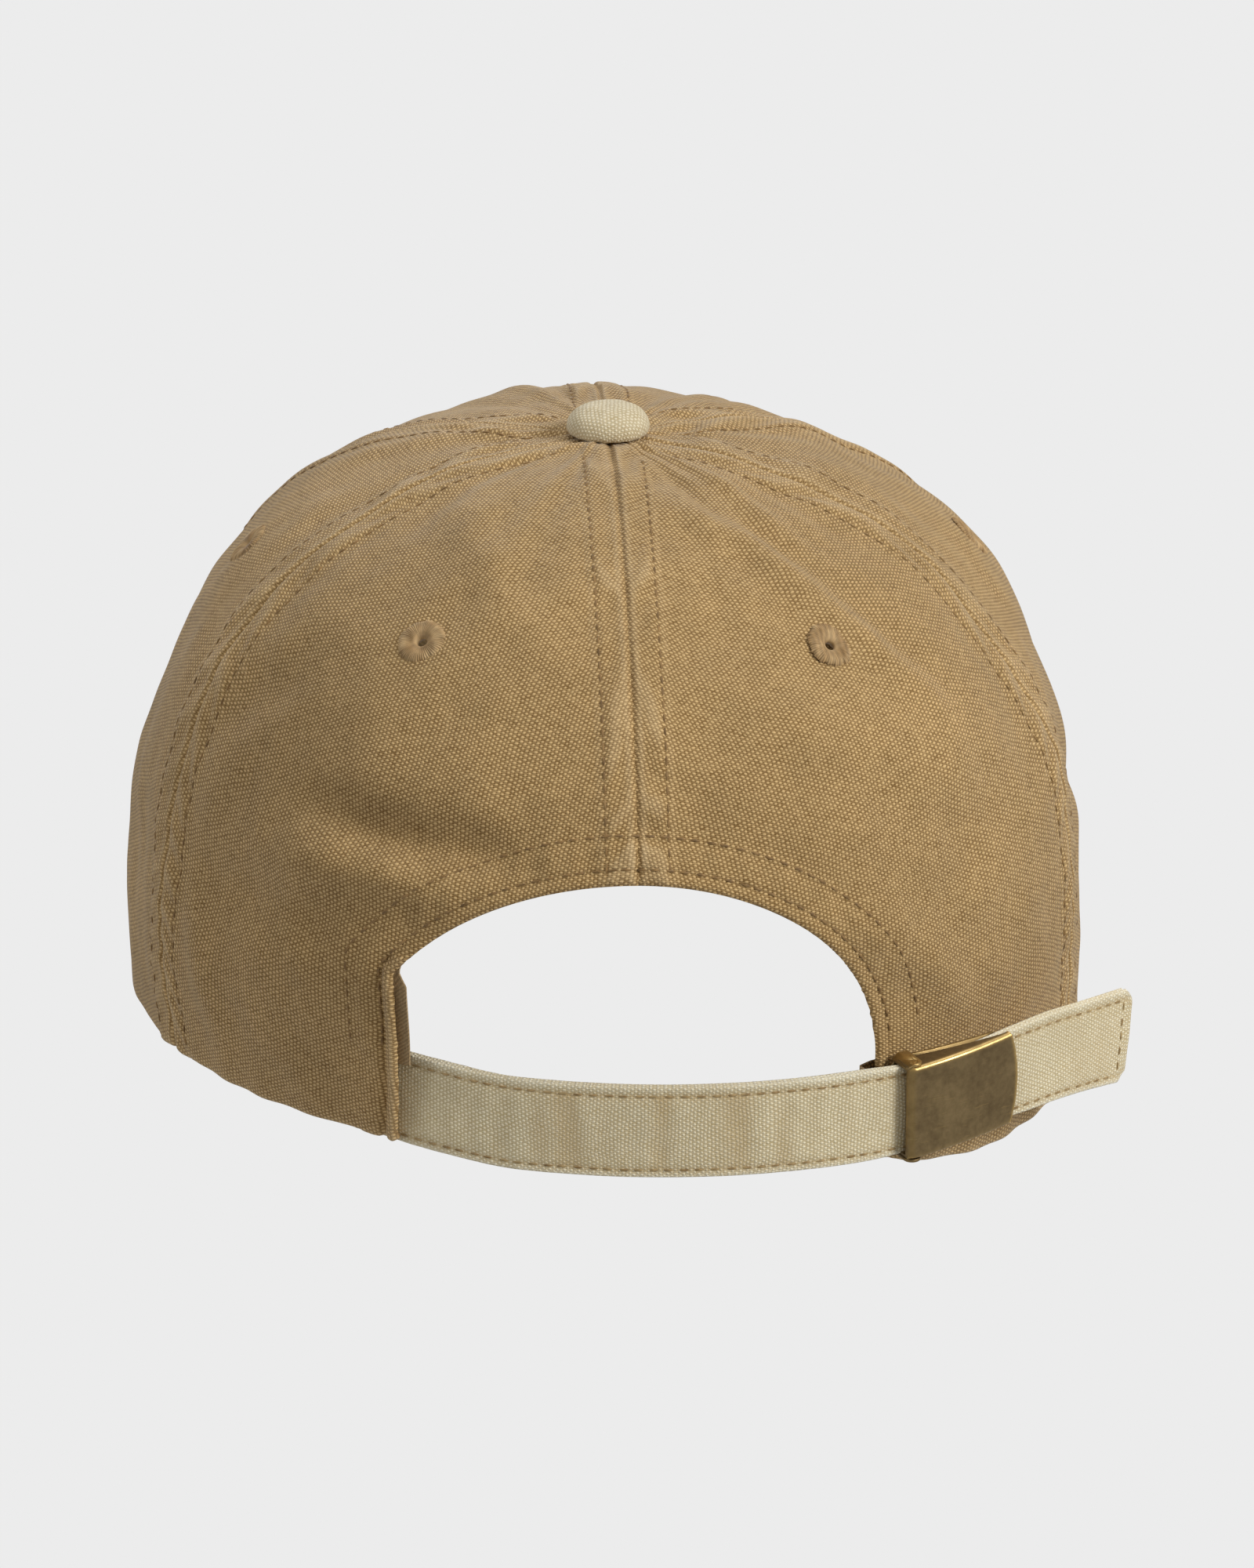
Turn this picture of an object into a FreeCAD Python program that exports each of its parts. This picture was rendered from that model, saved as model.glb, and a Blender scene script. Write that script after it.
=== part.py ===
import FreeCAD, Part
import math
import os

# Six-panel canvas baseball cap with a curved visor and a clamp-buckle strap.
# Millimetres.  +Z is up, the visor points to -Y, the wearer's left is +X.
# The origin is the middle of the head opening, level with the mean hem.

V = FreeCAD.Vector
UP = V(0, 0, 1)

# ---- crown -----------------------------------------------------------------
hem_half_width = 85.0
hem_half_rear = 95.0
hem_half_front = 97.0
crown_height = 105.6
apex_y = 5.5
hem_tilt = 6.3                 # left hem raised and right hem lowered by this much
hem_end_rise = 2.5             # front and rear hem stand higher than the sides
front_rise = 6.5               # extra lift of the front hem over the curved visor
front_rise_spread = 30.0       # degrees of azimuth
wall_bulge = 6.6               # how far the wall leans out above the hem
wall_bulge_ends = 5.9          # more at front and rear, less at the sides
wall_bulge_rear = 2.6
wall_height_share = 0.346
shoulder_width_share = 0.932
shoulder_side_share = 0.083
crown_tip = 0.99               # the panels end here, round the button's shank
fabric = 1.0                   # doubled canvas with its seam allowance

# Seams: azimuth at the hem and its drift up to the apex, degrees from the rear
seams = {
    "rear": (0.0, 0.0),
    "rear_left": (65.7, 9.2),
    "front_left": (119.5, 0.0),
    "front": (180.0, 0.0),
    "front_right": (240.5, 0.0),
    "rear_right": (293.2, -2.8),
    "rear_again": (360.0, 0.0),
}
panel_names = ["rear_left", "side_left", "front_left", "front_right", "side_right", "rear_right"]

tape_half_width = 6.0
tape_thickness = 0.5
tape_gap = 0.05
tape_low = 0.06
tape_high = 0.93

# ---- eyelets ---------------------------------------------------------------
eyelet_places = {
    "rear_left": (35.0, 0.672),
    "side_left": (93.0, 0.645),
    "front_left": (150.0, 0.66),
    "front_right": (210.0, 0.66),
    "side_right": (267.0, 0.645),
    "rear_right": (326.2, 0.672),
}
eyelet_radius = 4.6
eyelet_hole = 1.05
eyelet_barrel = 1.7
eyelet_rise = 0.6

# ---- rear opening ----------------------------------------------------------
arch_half_right = 42.5
arch_half_left = 45.0
arch_height = 34.8
arch_x = 1.0
arch_base = 22.0
arch_left_edge = 40.3          # the left side is tucked straight
facing_width = 10.0
facing_thickness = 0.5
facing_left_edge = 38.4
facing_foot = 21.2             # it ends just above the strap

# ---- sweatband -------------------------------------------------------------
sweat_height = 31.0
sweat_gap = 3.2
pocket_depth = 1.8             # extra room for the strap's hidden end
pocket_azimuth = 44.0
pocket_spread = 26.0
sweat_thickness = 0.8
interlining_thickness = 0.5
sweat_end = 28.5               # degrees either side of the rear middle

# ---- button ----------------------------------------------------------------
button_radius = 7.2
button_height = 4.9
cover_thickness = 0.7
shell_radius = 6.0
shell_height = 3.0
shell_thickness = 0.4
shank_radius = 1.5
washer_radius = 6.0
washer_thickness = 0.5

# ---- visor -----------------------------------------------------------------
visor_length = 68.0
visor_reach = 62.0             # degrees either side of the front middle
visor_end_half_width = 77.0
visor_swell = 7.0              # extra half width halfway along the sides
visor_board_share = 0.97       # how much of the cloth's reach the board fills
visor_side_drop = 13.0
visor_slope = 0.16
visor_board_thickness = 2.0
visor_fabric = 0.7

# ---- strap and buckle, on one arc about strap_centre ------------------------
strap_centre = V(-9.5, 5.5, 0)
strap_radius = 90.6
strap_thickness = 1.6
strap_width = 16.0
strap_mid = 12.4
strap_hidden_end = 54.5        # degrees from the rear, towards the left
strap_tail_end = -57.0
tail_chamfer = 1.6

buckle_start = -24.6
buckle_end = -36.0
buckle_inner_half = 8.3
sheet = 0.5                    # brass sheet
base_radius = 88.2
base_thickness = 0.6
slot_start = -23.0
slot_width = 1.0
bar_end = -22.0
pin_angle = -23.6
pin_ring = 92.8
pin_radius = 0.7
pin_play = 0.05
plate_radius = 93.8
plate_thickness = 0.6
lever_rim = 0.8                # plate beyond the pin
ear_depth = 2.9
lug_radius = 1.5

tab_thickness = 0.4
tab_half_width = 6.0
tab_turn = -20.4               # where the tab rounds the opening's edge

# ---- care label ------------------------------------------------------------
label_width = 24.0
label_height = 28.0
label_thickness = 0.3


def wave(azimuth, factor=1):
    """Cosine and sine of a multiple of an azimuth in radians."""
    return math.cos(factor * azimuth), math.sin(factor * azimuth)


def hem_z(azimuth):
    """Height of the hem round the cap."""
    c, s = wave(azimuth)
    c2, s2 = wave(azimuth, 2)
    from_front = math.degrees(math.acos(max(-1.0, min(1.0, -c))))
    rise = front_rise * math.exp(-(from_front / front_rise_spread) ** 2)
    return 1.4 * c + hem_tilt * s + hem_end_rise * c2 + 0.7 * s2 + rise


def crown_point(azimuth, height):
    """Outer face of the crown: azimuth in radians, height from 0 at the hem to 1 at the apex."""
    c, s = wave(azimuth)
    c2, s2 = wave(azimuth, 2)
    depth = hem_half_rear if c > 0 else hem_half_front
    hem = V(hem_half_width * s, depth * c, 0)
    outward = V(hem).normalize()
    bulge = wall_bulge + wall_bulge_rear * c + wall_bulge_ends * c2 + 1.5 * s - s2
    low = hem_z(azimuth)
    wall = hem + outward * bulge
    wall_z = low + (wall_height_share - 0.01 * c - 0.02 * s) * (crown_height - low)
    share = shoulder_width_share - 0.01 * c - shoulder_side_share * c2 - 0.04 * s
    points = [
        V(hem.x, hem.y, low),
        V(wall.x, wall.y, wall_z),
        V(share * wall.x, apex_y + share * wall.y, crown_height),
        V(0, apex_y, crown_height),
    ]
    t = height
    weights = [(1 - t) ** 3, 3 * t * (1 - t) ** 2, 3 * t * t * (1 - t), t ** 3]
    result = V(0, 0, 0)
    for weight, point in zip(weights, points):
        result += point * weight
    return result


def shell_point(azimuth, height, depth):
    """A point this deep under the crown's outer face."""
    step = 0.002
    along = crown_point(azimuth + step, height) - crown_point(azimuth - step, height)
    rise = crown_point(azimuth, min(1, height + step)) - crown_point(azimuth, height - step)
    normal = rise.cross(along).normalize()
    point = crown_point(azimuth, height)
    outward = V(point.x, point.y - apex_y, 30)
    if normal.dot(outward) < 0:
        normal = normal * -1
    return point - normal * depth


def slab(corner_a, corner_b, columns, rows):
    """Closed solid between two smooth faces, each given as a function of (u, v) in 0..1."""
    faces = []
    borders = []
    for corner in (corner_a, corner_b):
        grid = [[corner(i / columns, j / rows) for j in range(rows + 1)] for i in range(columns + 1)]
        surface = Part.BSplineSurface()
        surface.interpolate(grid)
        faces.append(surface.toShape())
        u0, u1, v0, v1 = surface.bounds()
        borders.append([surface.uIso(u0), surface.uIso(u1), surface.vIso(v0), surface.vIso(v1)])
    for edge_a, edge_b in zip(borders[0], borders[1]):
        faces.append(Part.makeRuledSurface(edge_a.toShape(), edge_b.toShape()))
    return closed_solid(faces)


def closed_solid(faces):
    """Sew faces into one outward-facing solid."""
    shell = Part.makeShell(faces)
    shell.sewShape()
    solid = Part.makeSolid(shell)
    if solid.Volume < 0:
        solid.reverse()
    if not solid.isValid():
        solid.fix(0.001, 0.001, 0.001)
    return solid


def seam_azimuth(name, height):
    """Azimuth of a seam in radians."""
    start, drift = seams[name]
    return math.radians(start + drift * height)


def panel_solid(seam_a, seam_b, low=0.0, high=crown_tip, outer=0.0, inner=fabric):
    """One crown panel between two seams."""
    def face(depth):
        def point(u, v):
            height = low + v * (high - low)
            a = seam_azimuth(seam_a, height)
            b = seam_azimuth(seam_b, height)
            return shell_point(a + u * (b - a), height, depth)
        return point
    return slab(face(outer), face(inner), 10, 14)


def arch_prism(grow, left_edge):
    """Block through the rear wall with the opening's arched outline, grown by a margin."""
    height = arch_height + grow
    floor = -30.0
    centre = V(arch_x, 30, arch_base)
    start = math.acos((left_edge - arch_x) / (arch_half_left + grow))
    arcs = []
    for half, first, last in ((arch_half_left + grow, start, math.pi / 2),
                              (arch_half_right + grow, math.pi / 2, math.pi)):
        ellipse = Part.Ellipse(centre + V(half, 0, 0), centre + V(0, 0, height), centre)
        arcs.append(Part.Arc(ellipse, first, last).toShape())
    left_top = arcs[0].Vertexes[0].Point
    right_top = arcs[1].Vertexes[1].Point
    left_low = V(left_top.x, 30, floor)
    right_low = V(right_top.x, 30, floor)
    edges = arcs + [
        Part.makeLine(right_top, right_low),
        Part.makeLine(right_low, left_low),
        Part.makeLine(left_low, left_top),
    ]
    return Part.Face(Part.Wire(edges)).extrude(V(0, 100, 0))


def eyelet_frame(name):
    """Place and outward direction of an eyelet."""
    degrees, height = eyelet_places[name]
    azimuth = math.radians(degrees)
    place = shell_point(azimuth, height, 0)
    return place, place - shell_point(azimuth, height, 1)


def eyelet_ring(name):
    """Thread ring worked round the vent hole, with a barrel through the panel."""
    place, outward = eyelet_frame(name)
    back = fabric + 0.35
    disc = Part.makeCylinder(eyelet_radius, eyelet_rise + 0.5, place - outward * 0.5, outward)
    barrel = Part.makeCylinder(eyelet_barrel, back, place - outward * back, outward)
    hole = Part.makeCylinder(eyelet_hole, 6, place - outward * 3, outward)
    return disc.fuse(barrel).cut(hole)


def vent_drill(name):
    """Drill for the hole that an eyelet's barrel fills."""
    place, outward = eyelet_frame(name)
    return Part.makeCylinder(eyelet_barrel, 6, place - outward * 3, outward)


def make_panels():
    """Six panels with their vent holes, the rear pair cut out for the arched opening."""
    names = list(seams)
    opening = arch_prism(0, arch_left_edge)
    result = {}
    for number, name in enumerate(panel_names):
        solid = panel_solid(names[number], names[number + 1]).cut(vent_drill(name))
        if name.startswith("rear"):
            solid = solid.cut(opening)
        result[name] = biggest(solid)
    return result


def biggest(shape):
    """The largest solid of a shape, dropping slivers."""
    return sorted(shape.Solids, key=lambda solid: solid.Volume)[-1]


def seam_tape(name, low):
    """Tape inside a seam, narrowing towards the apex so that the six meet without crossing."""
    def face(depth):
        def point(u, v):
            height = low + v * (tape_high - low)
            azimuth = seam_azimuth(name, height)
            place = crown_point(azimuth, height)
            ring = math.hypot(place.x, place.y - apex_y)
            half = min(tape_half_width / ring, math.radians(26))
            return shell_point(azimuth + (2 * u - 1) * half, height, depth)
        return point
    start = fabric + tape_gap
    return slab(face(start), face(start + tape_thickness), 4, 14)


def make_facing():
    """Tape that faces the inside edge of the rear opening."""
    def face(depth):
        def point(u, v):
            return shell_point(math.radians(-48 + 96 * u), 0.005 + 0.6 * v, depth)
        return point
    start = fabric + tape_gap
    sheet_solid = slab(face(start), face(start + facing_thickness), 12, 12)
    strip = sheet_solid.common(arch_prism(facing_width, arch_left_edge + facing_width))
    strip = strip.cut(arch_prism(0, facing_left_edge))
    above_strap = Part.makeBox(200, 200, 200, V(-100, -50, facing_foot))
    return biggest(strip.common(above_strap))


def sweat_point(azimuth, level, depth):
    """A point of the band inside the hem: level 0 at its foot, 1 at its top."""
    c, s = wave(azimuth)
    half_depth = hem_half_rear if c > 0 else hem_half_front
    hem = V(hem_half_width * s, half_depth * c, 0)
    outward = V(s / hem_half_width, c / half_depth, 0).normalize()
    off = (math.degrees(azimuth) - pocket_azimuth) / pocket_spread
    gap = sweat_gap + pocket_depth * math.exp(-off ** 4)
    place = hem - outward * (gap + depth)
    return V(place.x, place.y, hem_z(azimuth) + 0.8 + level * sweat_height)


def band(depth_a, depth_b, low, high):
    """A ply of the sweatband, all round but for the rear opening."""
    def face(depth):
        def point(u, v):
            degrees = sweat_end + u * (360 - 2 * sweat_end)
            return sweat_point(math.radians(degrees), low + v * (high - low), depth)
        return point
    return slab(face(depth_a), face(depth_b), 48, 4)


def revolved(profile, centre):
    """Solid of revolution about a vertical axis, from (radius, height) points."""
    points = [centre + V(r, 0, z) for r, z in profile]
    face = Part.Face(Part.makePolygon(points + points[:1]))
    return face.revolve(centre, UP, 360)


def dome_profile(radius, height, thickness, turn_in):
    """Section of a hollow domed cap whose rim turns in underneath."""
    steps = 10
    outer = []
    inner = []
    for i in range(steps + 1):
        angle = math.pi / 2 * i / steps
        outer.append((radius * math.cos(angle) ** 0.7, 0.9 + (height - 0.9) * math.sin(angle)))
        inner.append((max(0.0, (radius - thickness) * math.cos(angle) ** 0.7),
                      0.9 + (height - 0.9 - thickness) * math.sin(angle)))
    outer[-1] = (0.0, height)
    inner[-1] = (0.0, height - thickness)
    foot = [(turn_in, thickness), (turn_in, 0.0), (radius - 0.7, 0.0)]
    return outer + inner[::-1] + [(radius - thickness, thickness)] + foot


def make_button():
    """Fabric cover, metal shell, shank and the washer that clinches it inside."""
    centre = V(0, apex_y, crown_height + 0.35)
    cover = revolved(dome_profile(button_radius, button_height, cover_thickness, 4.6), centre)
    shell_centre = centre + V(0, 0, cover_thickness + 0.05)
    shell = revolved(dome_profile(shell_radius, shell_height, shell_thickness, 4.0), shell_centre)
    shank = revolved([
        (0, -2.6), (2.3, -2.6), (2.3, -2.2), (shank_radius, -2.2), (shank_radius, 1.2),
        (3.6, 1.2), (3.6, 1.5), (0, 1.5)], centre)
    washer = revolved([
        (shank_radius + 0.05, -2.15), (washer_radius, -2.15),
        (washer_radius, -2.15 + washer_thickness), (shank_radius + 0.05, -2.15 + washer_thickness),
    ], centre)
    return cover, shell, shank, washer


def visor_point(u, v, lift):
    """The visor's sheet: u from -1 to 1 across, v from 0 at the hem to 1 at the rim."""
    reach = math.radians(visor_reach)
    root = crown_point(math.pi - reach * u, 0.0) - UP * 0.4
    side = math.sin(math.pi / 2 * u)
    fore = max(0.0, math.cos(math.pi / 2 * u))
    half_width = visor_end_half_width + visor_swell * math.sin(math.pi * abs(u))
    rim_x = math.copysign(abs(side) ** 0.86, u) * half_width
    start_y = hem_half_front * math.cos(reach) - 2
    rim_y = start_y + (hem_half_front + visor_length - start_y) * fore ** 0.72
    sideways = rim_x / hem_half_width
    drop = visor_side_drop * sideways ** 2 + visor_slope * (rim_y - start_y - 40)
    rim = V(rim_x, -rim_y, hem_z(math.pi) + hem_tilt * sideways - drop)
    return root + (rim - root) * v + UP * lift


def visor_ply(low, high, share):
    """One ply of the visor between two heights over its middle sheet."""
    def face(lift):
        def point(u, v):
            return visor_point(share * (2 * u - 1), 0.03 + (share - 0.03) * v, lift)
        return point
    return slab(face(high), face(low), 28, 8)


def arc_place(degrees, radius, z=0.0):
    """A point on a ring about the strap's centre, measured from the rear towards the left."""
    angle = math.radians(degrees)
    return strap_centre + V(radius * math.sin(angle), radius * math.cos(angle), z)


def sector(start, end, inner, outer, low, high):
    """A curved plate concentric with the strap."""
    middle = 0.5 * (start + end)
    outer_arc = Part.Arc(*[arc_place(d, outer, low) for d in (start, middle, end)])
    inner_arc = Part.Arc(*[arc_place(d, inner, low) for d in (end, middle, start)])
    edges = [
        outer_arc.toShape(),
        Part.makeLine(arc_place(end, outer, low), arc_place(end, inner, low)),
        inner_arc.toShape(),
        Part.makeLine(arc_place(start, inner, low), arc_place(start, outer, low)),
    ]
    return Part.Face(Part.Wire(edges)).extrude(V(0, 0, high - low))


def strap_ply(inner, outer):
    """One ply of the strap, its tail's corners cut off."""
    low = strap_mid - strap_width / 2
    high = strap_mid + strap_width / 2
    ply = sector(strap_hidden_end, strap_tail_end, inner, outer, low, high)
    cut_angle = math.degrees(tail_chamfer / strap_radius)
    for z0, z1 in ((low, low + tail_chamfer), (high, high - tail_chamfer)):
        flat = [arc_place(strap_tail_end, 85, z0), arc_place(strap_tail_end, 85, z1),
                arc_place(strap_tail_end + cut_angle, 85, z0)]
        deep = [arc_place(strap_tail_end, 95, z0), arc_place(strap_tail_end, 95, z1),
                arc_place(strap_tail_end + cut_angle, 95, z0)]
        wedge = Part.makeLoft([Part.makePolygon(flat + flat[:1]), Part.makePolygon(deep + deep[:1])], True)
        ply = ply.cut(wedge)
    return biggest(ply)


def buckle_levels():
    """Heights of the buckle: ear inner face, ear outer face, lug outer face, from its middle."""
    ear_out = buckle_inner_half + sheet
    return buckle_inner_half, ear_out, ear_out + 0.1 + sheet


def make_base():
    """Back plate with a slotted end for the tab and two lugs that carry the pin."""
    ear_in, ear_out, lug_out = buckle_levels()
    plate = sector(bar_end, buckle_end, base_radius, base_radius + base_thickness,
                   strap_mid - ear_out, strap_mid + ear_out)
    slot_end = slot_start - math.degrees(slot_width / base_radius)
    slot = sector(slot_start, slot_end, base_radius - 2, base_radius + 3,
                  strap_mid - ear_in + 1.5, strap_mid + ear_in - 1.5)
    base = plate.cut(slot)
    lug_half = math.degrees(lug_radius / pin_ring)
    for side in (-1, 1):
        near = strap_mid + side * (ear_out + 0.1)
        far = strap_mid + side * lug_out
        low, high = sorted((near, far))
        lug = sector(pin_angle + lug_half, pin_angle - lug_half, base_radius,
                     pin_ring, low, high)
        nose = Part.makeCylinder(lug_radius, high - low, arc_place(pin_angle, pin_ring, low), UP)
        foot_low, foot_high = sorted((strap_mid + side * (ear_out - 0.4), far))
        foot = sector(pin_angle + lug_half, pin_angle - lug_half, base_radius,
                      base_radius + base_thickness, foot_low, foot_high)
        base = base.fuse(lug.fuse(nose)).fuse(foot)
    bore = Part.makeCylinder(pin_radius + 0.01, 40, arc_place(pin_angle, pin_ring, -10), UP)
    return biggest(base.cut(bore).removeSplitter())


def make_pin():
    """Hinge pin through both lugs."""
    lug_out = buckle_levels()[2]
    return Part.makeCylinder(pin_radius, 2 * lug_out, arc_place(pin_angle, pin_ring, strap_mid - lug_out), UP)


def make_lever():
    """Cover plate with two tapering ears and a row of clamping teeth by the pin."""
    ear_in, ear_out, _ = buckle_levels()
    rim_angle = math.degrees(lever_rim / pin_ring)
    start = pin_angle + rim_angle
    low = strap_mid - ear_out
    high = strap_mid + ear_out
    lever = sector(start, buckle_end, plate_radius, plate_radius + plate_thickness, low, high)
    inner = pin_ring - ear_depth
    outline = [arc_place(start, plate_radius + 0.3), arc_place(start, inner),
               arc_place(pin_angle - rim_angle * 2, inner), arc_place(buckle_end + 1.5, plate_radius - 0.6),
               arc_place(buckle_end + 1.0, plate_radius + 0.3), arc_place(0.5 * (start + buckle_end), plate_radius + 0.3)]
    for ear_low in (low, strap_mid + ear_in):
        raised = [point + V(0, 0, ear_low) for point in outline]
        ear = Part.Face(Part.makePolygon(raised + raised[:1])).extrude(V(0, 0, sheet))
        lever = lever.fuse(ear)
    bore = Part.makeCylinder(pin_radius + pin_play, 40, arc_place(pin_angle, pin_ring, -10), UP)
    return biggest(lever.cut(bore).removeSplitter())


def ribbon(points, thickness, low, high):
    """A folded strip of cloth: a plan path given a thickness and a height."""
    left = []
    right = []
    for i, point in enumerate(points):
        before = points[max(0, i - 1)]
        after = points[min(len(points) - 1, i + 1)]
        along = (after - before).normalize()
        side = V(-along.y, along.x, 0) * (thickness / 2)
        left.append(V(point.x + side.x, point.y + side.y, low))
        right.append(V(point.x - side.x, point.y - side.y, low))
    outline = left + right[::-1]
    return Part.Face(Part.makePolygon(outline + outline[:1])).extrude(V(0, 0, high - low))


def make_tab():
    """Short cloth tab: sewn inside the opening's right edge and looped through the base's slot."""
    ring = base_radius + base_thickness / 2
    loop = base_thickness / 2 + tab_thickness / 2 + 0.05
    slot_middle = slot_start - math.degrees(slot_width / base_radius) / 2
    path = [
        arc_place(slot_middle - 1.2, ring - loop),
        arc_place(slot_middle - 0.1, ring - loop),
        arc_place(slot_middle, ring),
        arc_place(slot_middle + 0.12, ring + loop),
        arc_place(bar_end + 0.25, ring + loop),
        arc_place(bar_end + 0.45, ring),
        arc_place(tab_turn, ring - 1.2),
        arc_place(tab_turn, ring - 4.6),
        arc_place(bar_end, ring - 5.6),
        arc_place(bar_end - 4.0, ring - 6.2),
    ]
    return ribbon(path, tab_thickness, strap_mid - tab_half_width, strap_mid + tab_half_width)


def make_label():
    """Blank care label sewn into the lower edge of the left sweatband."""
    def face(depth):
        def point(u, v):
            half = math.radians(8)
            azimuth = math.radians(100) + (2 * u - 1) * half
            return sweat_point(azimuth, 0.1 + 0.8 * v, depth)
        return point
    start = interlining_thickness + sweat_thickness + 0.1
    return slab(face(start), face(start + label_thickness), 4, 2)


def build():
    """Every sub-part by name."""
    parts = {}
    panels = make_panels()
    for name, solid in panels.items():
        parts["panel_" + name] = solid
        parts["eyelet_" + name] = biggest(eyelet_ring(name).cut(solid))
    tape_starts = {"rear": 0.56}
    for name in list(seams)[:-1]:
        parts["seam_tape_" + name] = seam_tape(name, tape_starts.get(name, tape_low))
    parts["opening_facing"] = make_facing()
    parts["sweatband"] = band(interlining_thickness + 0.05, interlining_thickness + sweat_thickness, 0, 1)
    parts["sweatband_interlining"] = band(0, interlining_thickness, 0.04, 0.94)
    cover, shell, shank, washer = make_button()
    parts["button_cover"] = cover
    parts["button_shell"] = shell
    parts["button_shank"] = shank
    parts["button_washer"] = washer
    half_board = visor_board_thickness / 2
    parts["visor_board"] = visor_ply(-half_board, half_board, visor_board_share)
    parts["visor_top_cloth"] = visor_ply(half_board + 0.05, half_board + visor_fabric, 1.0)
    parts["visor_under_cloth"] = visor_ply(-half_board - visor_fabric, -half_board - 0.05, 1.0)
    middle = strap_radius
    parts["strap_front_ply"] = strap_ply(middle, middle + strap_thickness / 2)
    parts["strap_back_ply"] = strap_ply(middle - strap_thickness / 2, middle)
    parts["buckle_base"] = make_base()
    parts["buckle_pin"] = make_pin()
    parts["buckle_lever"] = make_lever()
    parts["buckle_tab"] = make_tab()
    parts["care_label"] = make_label()
    return parts


os.makedirs("parts", exist_ok=True)
for node, shape in build().items():
    print(node, len(shape.Solids), shape.isValid(), round(shape.Volume, 1), shape.BoundBox)
    shape.exportStep("parts/" + node + ".step")
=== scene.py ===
"""Six-panel canvas baseball cap with a curved visor, sewn eyelets, a covered button and a buckled strap.

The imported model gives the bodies, the joints and the places. The cloth, thread and brass that show are
built here on the same forms, in metres: +Z is up, the visor points to -Y, the wearer's left is +X.
"""
import logging
import math
from dataclasses import dataclass, field
from enum import Enum
from functools import partial
from typing import Callable, Sequence

import bpy
import numpy as np
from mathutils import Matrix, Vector
from mathutils.kdtree import KDTree


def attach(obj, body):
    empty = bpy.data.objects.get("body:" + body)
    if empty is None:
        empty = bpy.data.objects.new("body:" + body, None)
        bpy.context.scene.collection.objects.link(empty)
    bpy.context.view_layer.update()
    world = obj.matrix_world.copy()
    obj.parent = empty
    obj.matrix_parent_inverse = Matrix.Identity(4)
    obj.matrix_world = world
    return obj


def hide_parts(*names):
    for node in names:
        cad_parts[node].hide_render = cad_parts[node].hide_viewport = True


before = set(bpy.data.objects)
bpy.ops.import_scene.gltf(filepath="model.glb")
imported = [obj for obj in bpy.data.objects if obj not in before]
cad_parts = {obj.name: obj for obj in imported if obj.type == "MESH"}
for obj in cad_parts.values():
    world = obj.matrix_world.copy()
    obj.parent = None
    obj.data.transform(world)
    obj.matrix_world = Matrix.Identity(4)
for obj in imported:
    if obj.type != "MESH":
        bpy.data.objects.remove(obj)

LOG = logging.getLogger("cap")
MM = 0.001
CROWN_BODY, STRAP_BODY, LEVER_BODY = "cap", "strap", "lever"
NEAR = 1e-6
POLE_GAP = 2e-6

Array = np.ndarray
Pair = tuple[Array, Array]
Piece = bpy.types.Object
Material = bpy.types.Material
Node = bpy.types.Node
Socket = bpy.types.NodeSocket
Tree = bpy.types.NodeTree
Colour = tuple[float, float, float]
Place = Callable[[Array, Array], Array]
Feed = object


def srgb(red: int, green: int, blue: int) -> Colour:
    """Linear colour from 0 to 255 display values."""
    return tuple((((c / 255) + 0.055) / 1.055) ** 2.4 if c > 10 else c / 255 / 12.92 for c in (red, green, blue))


def smooth_step(low: float, high: float, value: Array) -> Array:
    """0 below low, 1 above high, smooth in between."""
    t = np.clip((value - low) / (high - low), 0, 1)
    return t * t * (3 - 2 * t)


def bell(distance: Array, width: float) -> Array:
    """Bell curve of height 1 and this half width."""
    return np.exp(-(distance / width) ** 2)


def crowd_ends(t: Array, strength: float = 0.7) -> Array:
    """Spreads 0..1 so that both ends are sampled more finely than the middle."""
    return t - strength * np.sin(2 * math.pi * t) / (2 * math.pi)


def rolled_in(distance: Array, radius: float) -> Array:
    """How far a folded edge of this radius falls back at a distance from the edge."""
    near = np.clip(1 - distance / radius, 0, 1)
    return radius * (1 - np.sqrt(1 - near ** 2))


def unit_rows(rows: Array) -> Array:
    """Each row scaled to length 1."""
    return rows / np.linalg.norm(rows, axis=1)[:, None]


def nearest(value: Array) -> Array:
    """Whole numbers nearest to the values."""
    return np.rint(value).astype(int)


def along_line(points: Array) -> Array:
    """Distance of each point of a line from its start."""
    steps = np.linalg.norm(np.diff(points, axis=0), axis=1)
    return np.concatenate([[0.0], np.cumsum(steps)])


def at_distances(points: Array, travelled: Array, wanted: Array) -> Array:
    """The line's points at the wanted distances from its start."""
    return np.stack([np.interp(wanted, travelled, points[:, axis]) for axis in range(points.shape[1])], -1)


def resample(points: Array, spacing: float) -> Array:
    """The same line, both ends included, with points this far apart."""
    travelled = along_line(points)
    count = max(2, int(round(travelled[-1] / spacing)) + 1)
    return at_distances(points, travelled, np.linspace(0, travelled[-1], count))


def distance_to(points: Array, line: Array) -> Pair:
    """Distance of points from a densely sampled line.

    Args:
        points: places, one row each.
        line: samples along the line.

    Returns:
        The distances, and how far along the line, 0 to 1, the nearest sample is.
    """
    tree = KDTree(len(line))
    for number, place in enumerate(line):
        tree.insert(place, number)
    tree.balance()
    found = [tree.find(place) for place in points]
    return np.array([hit[2] for hit in found]), np.array([hit[1] for hit in found]) / max(1, len(line) - 1)


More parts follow.
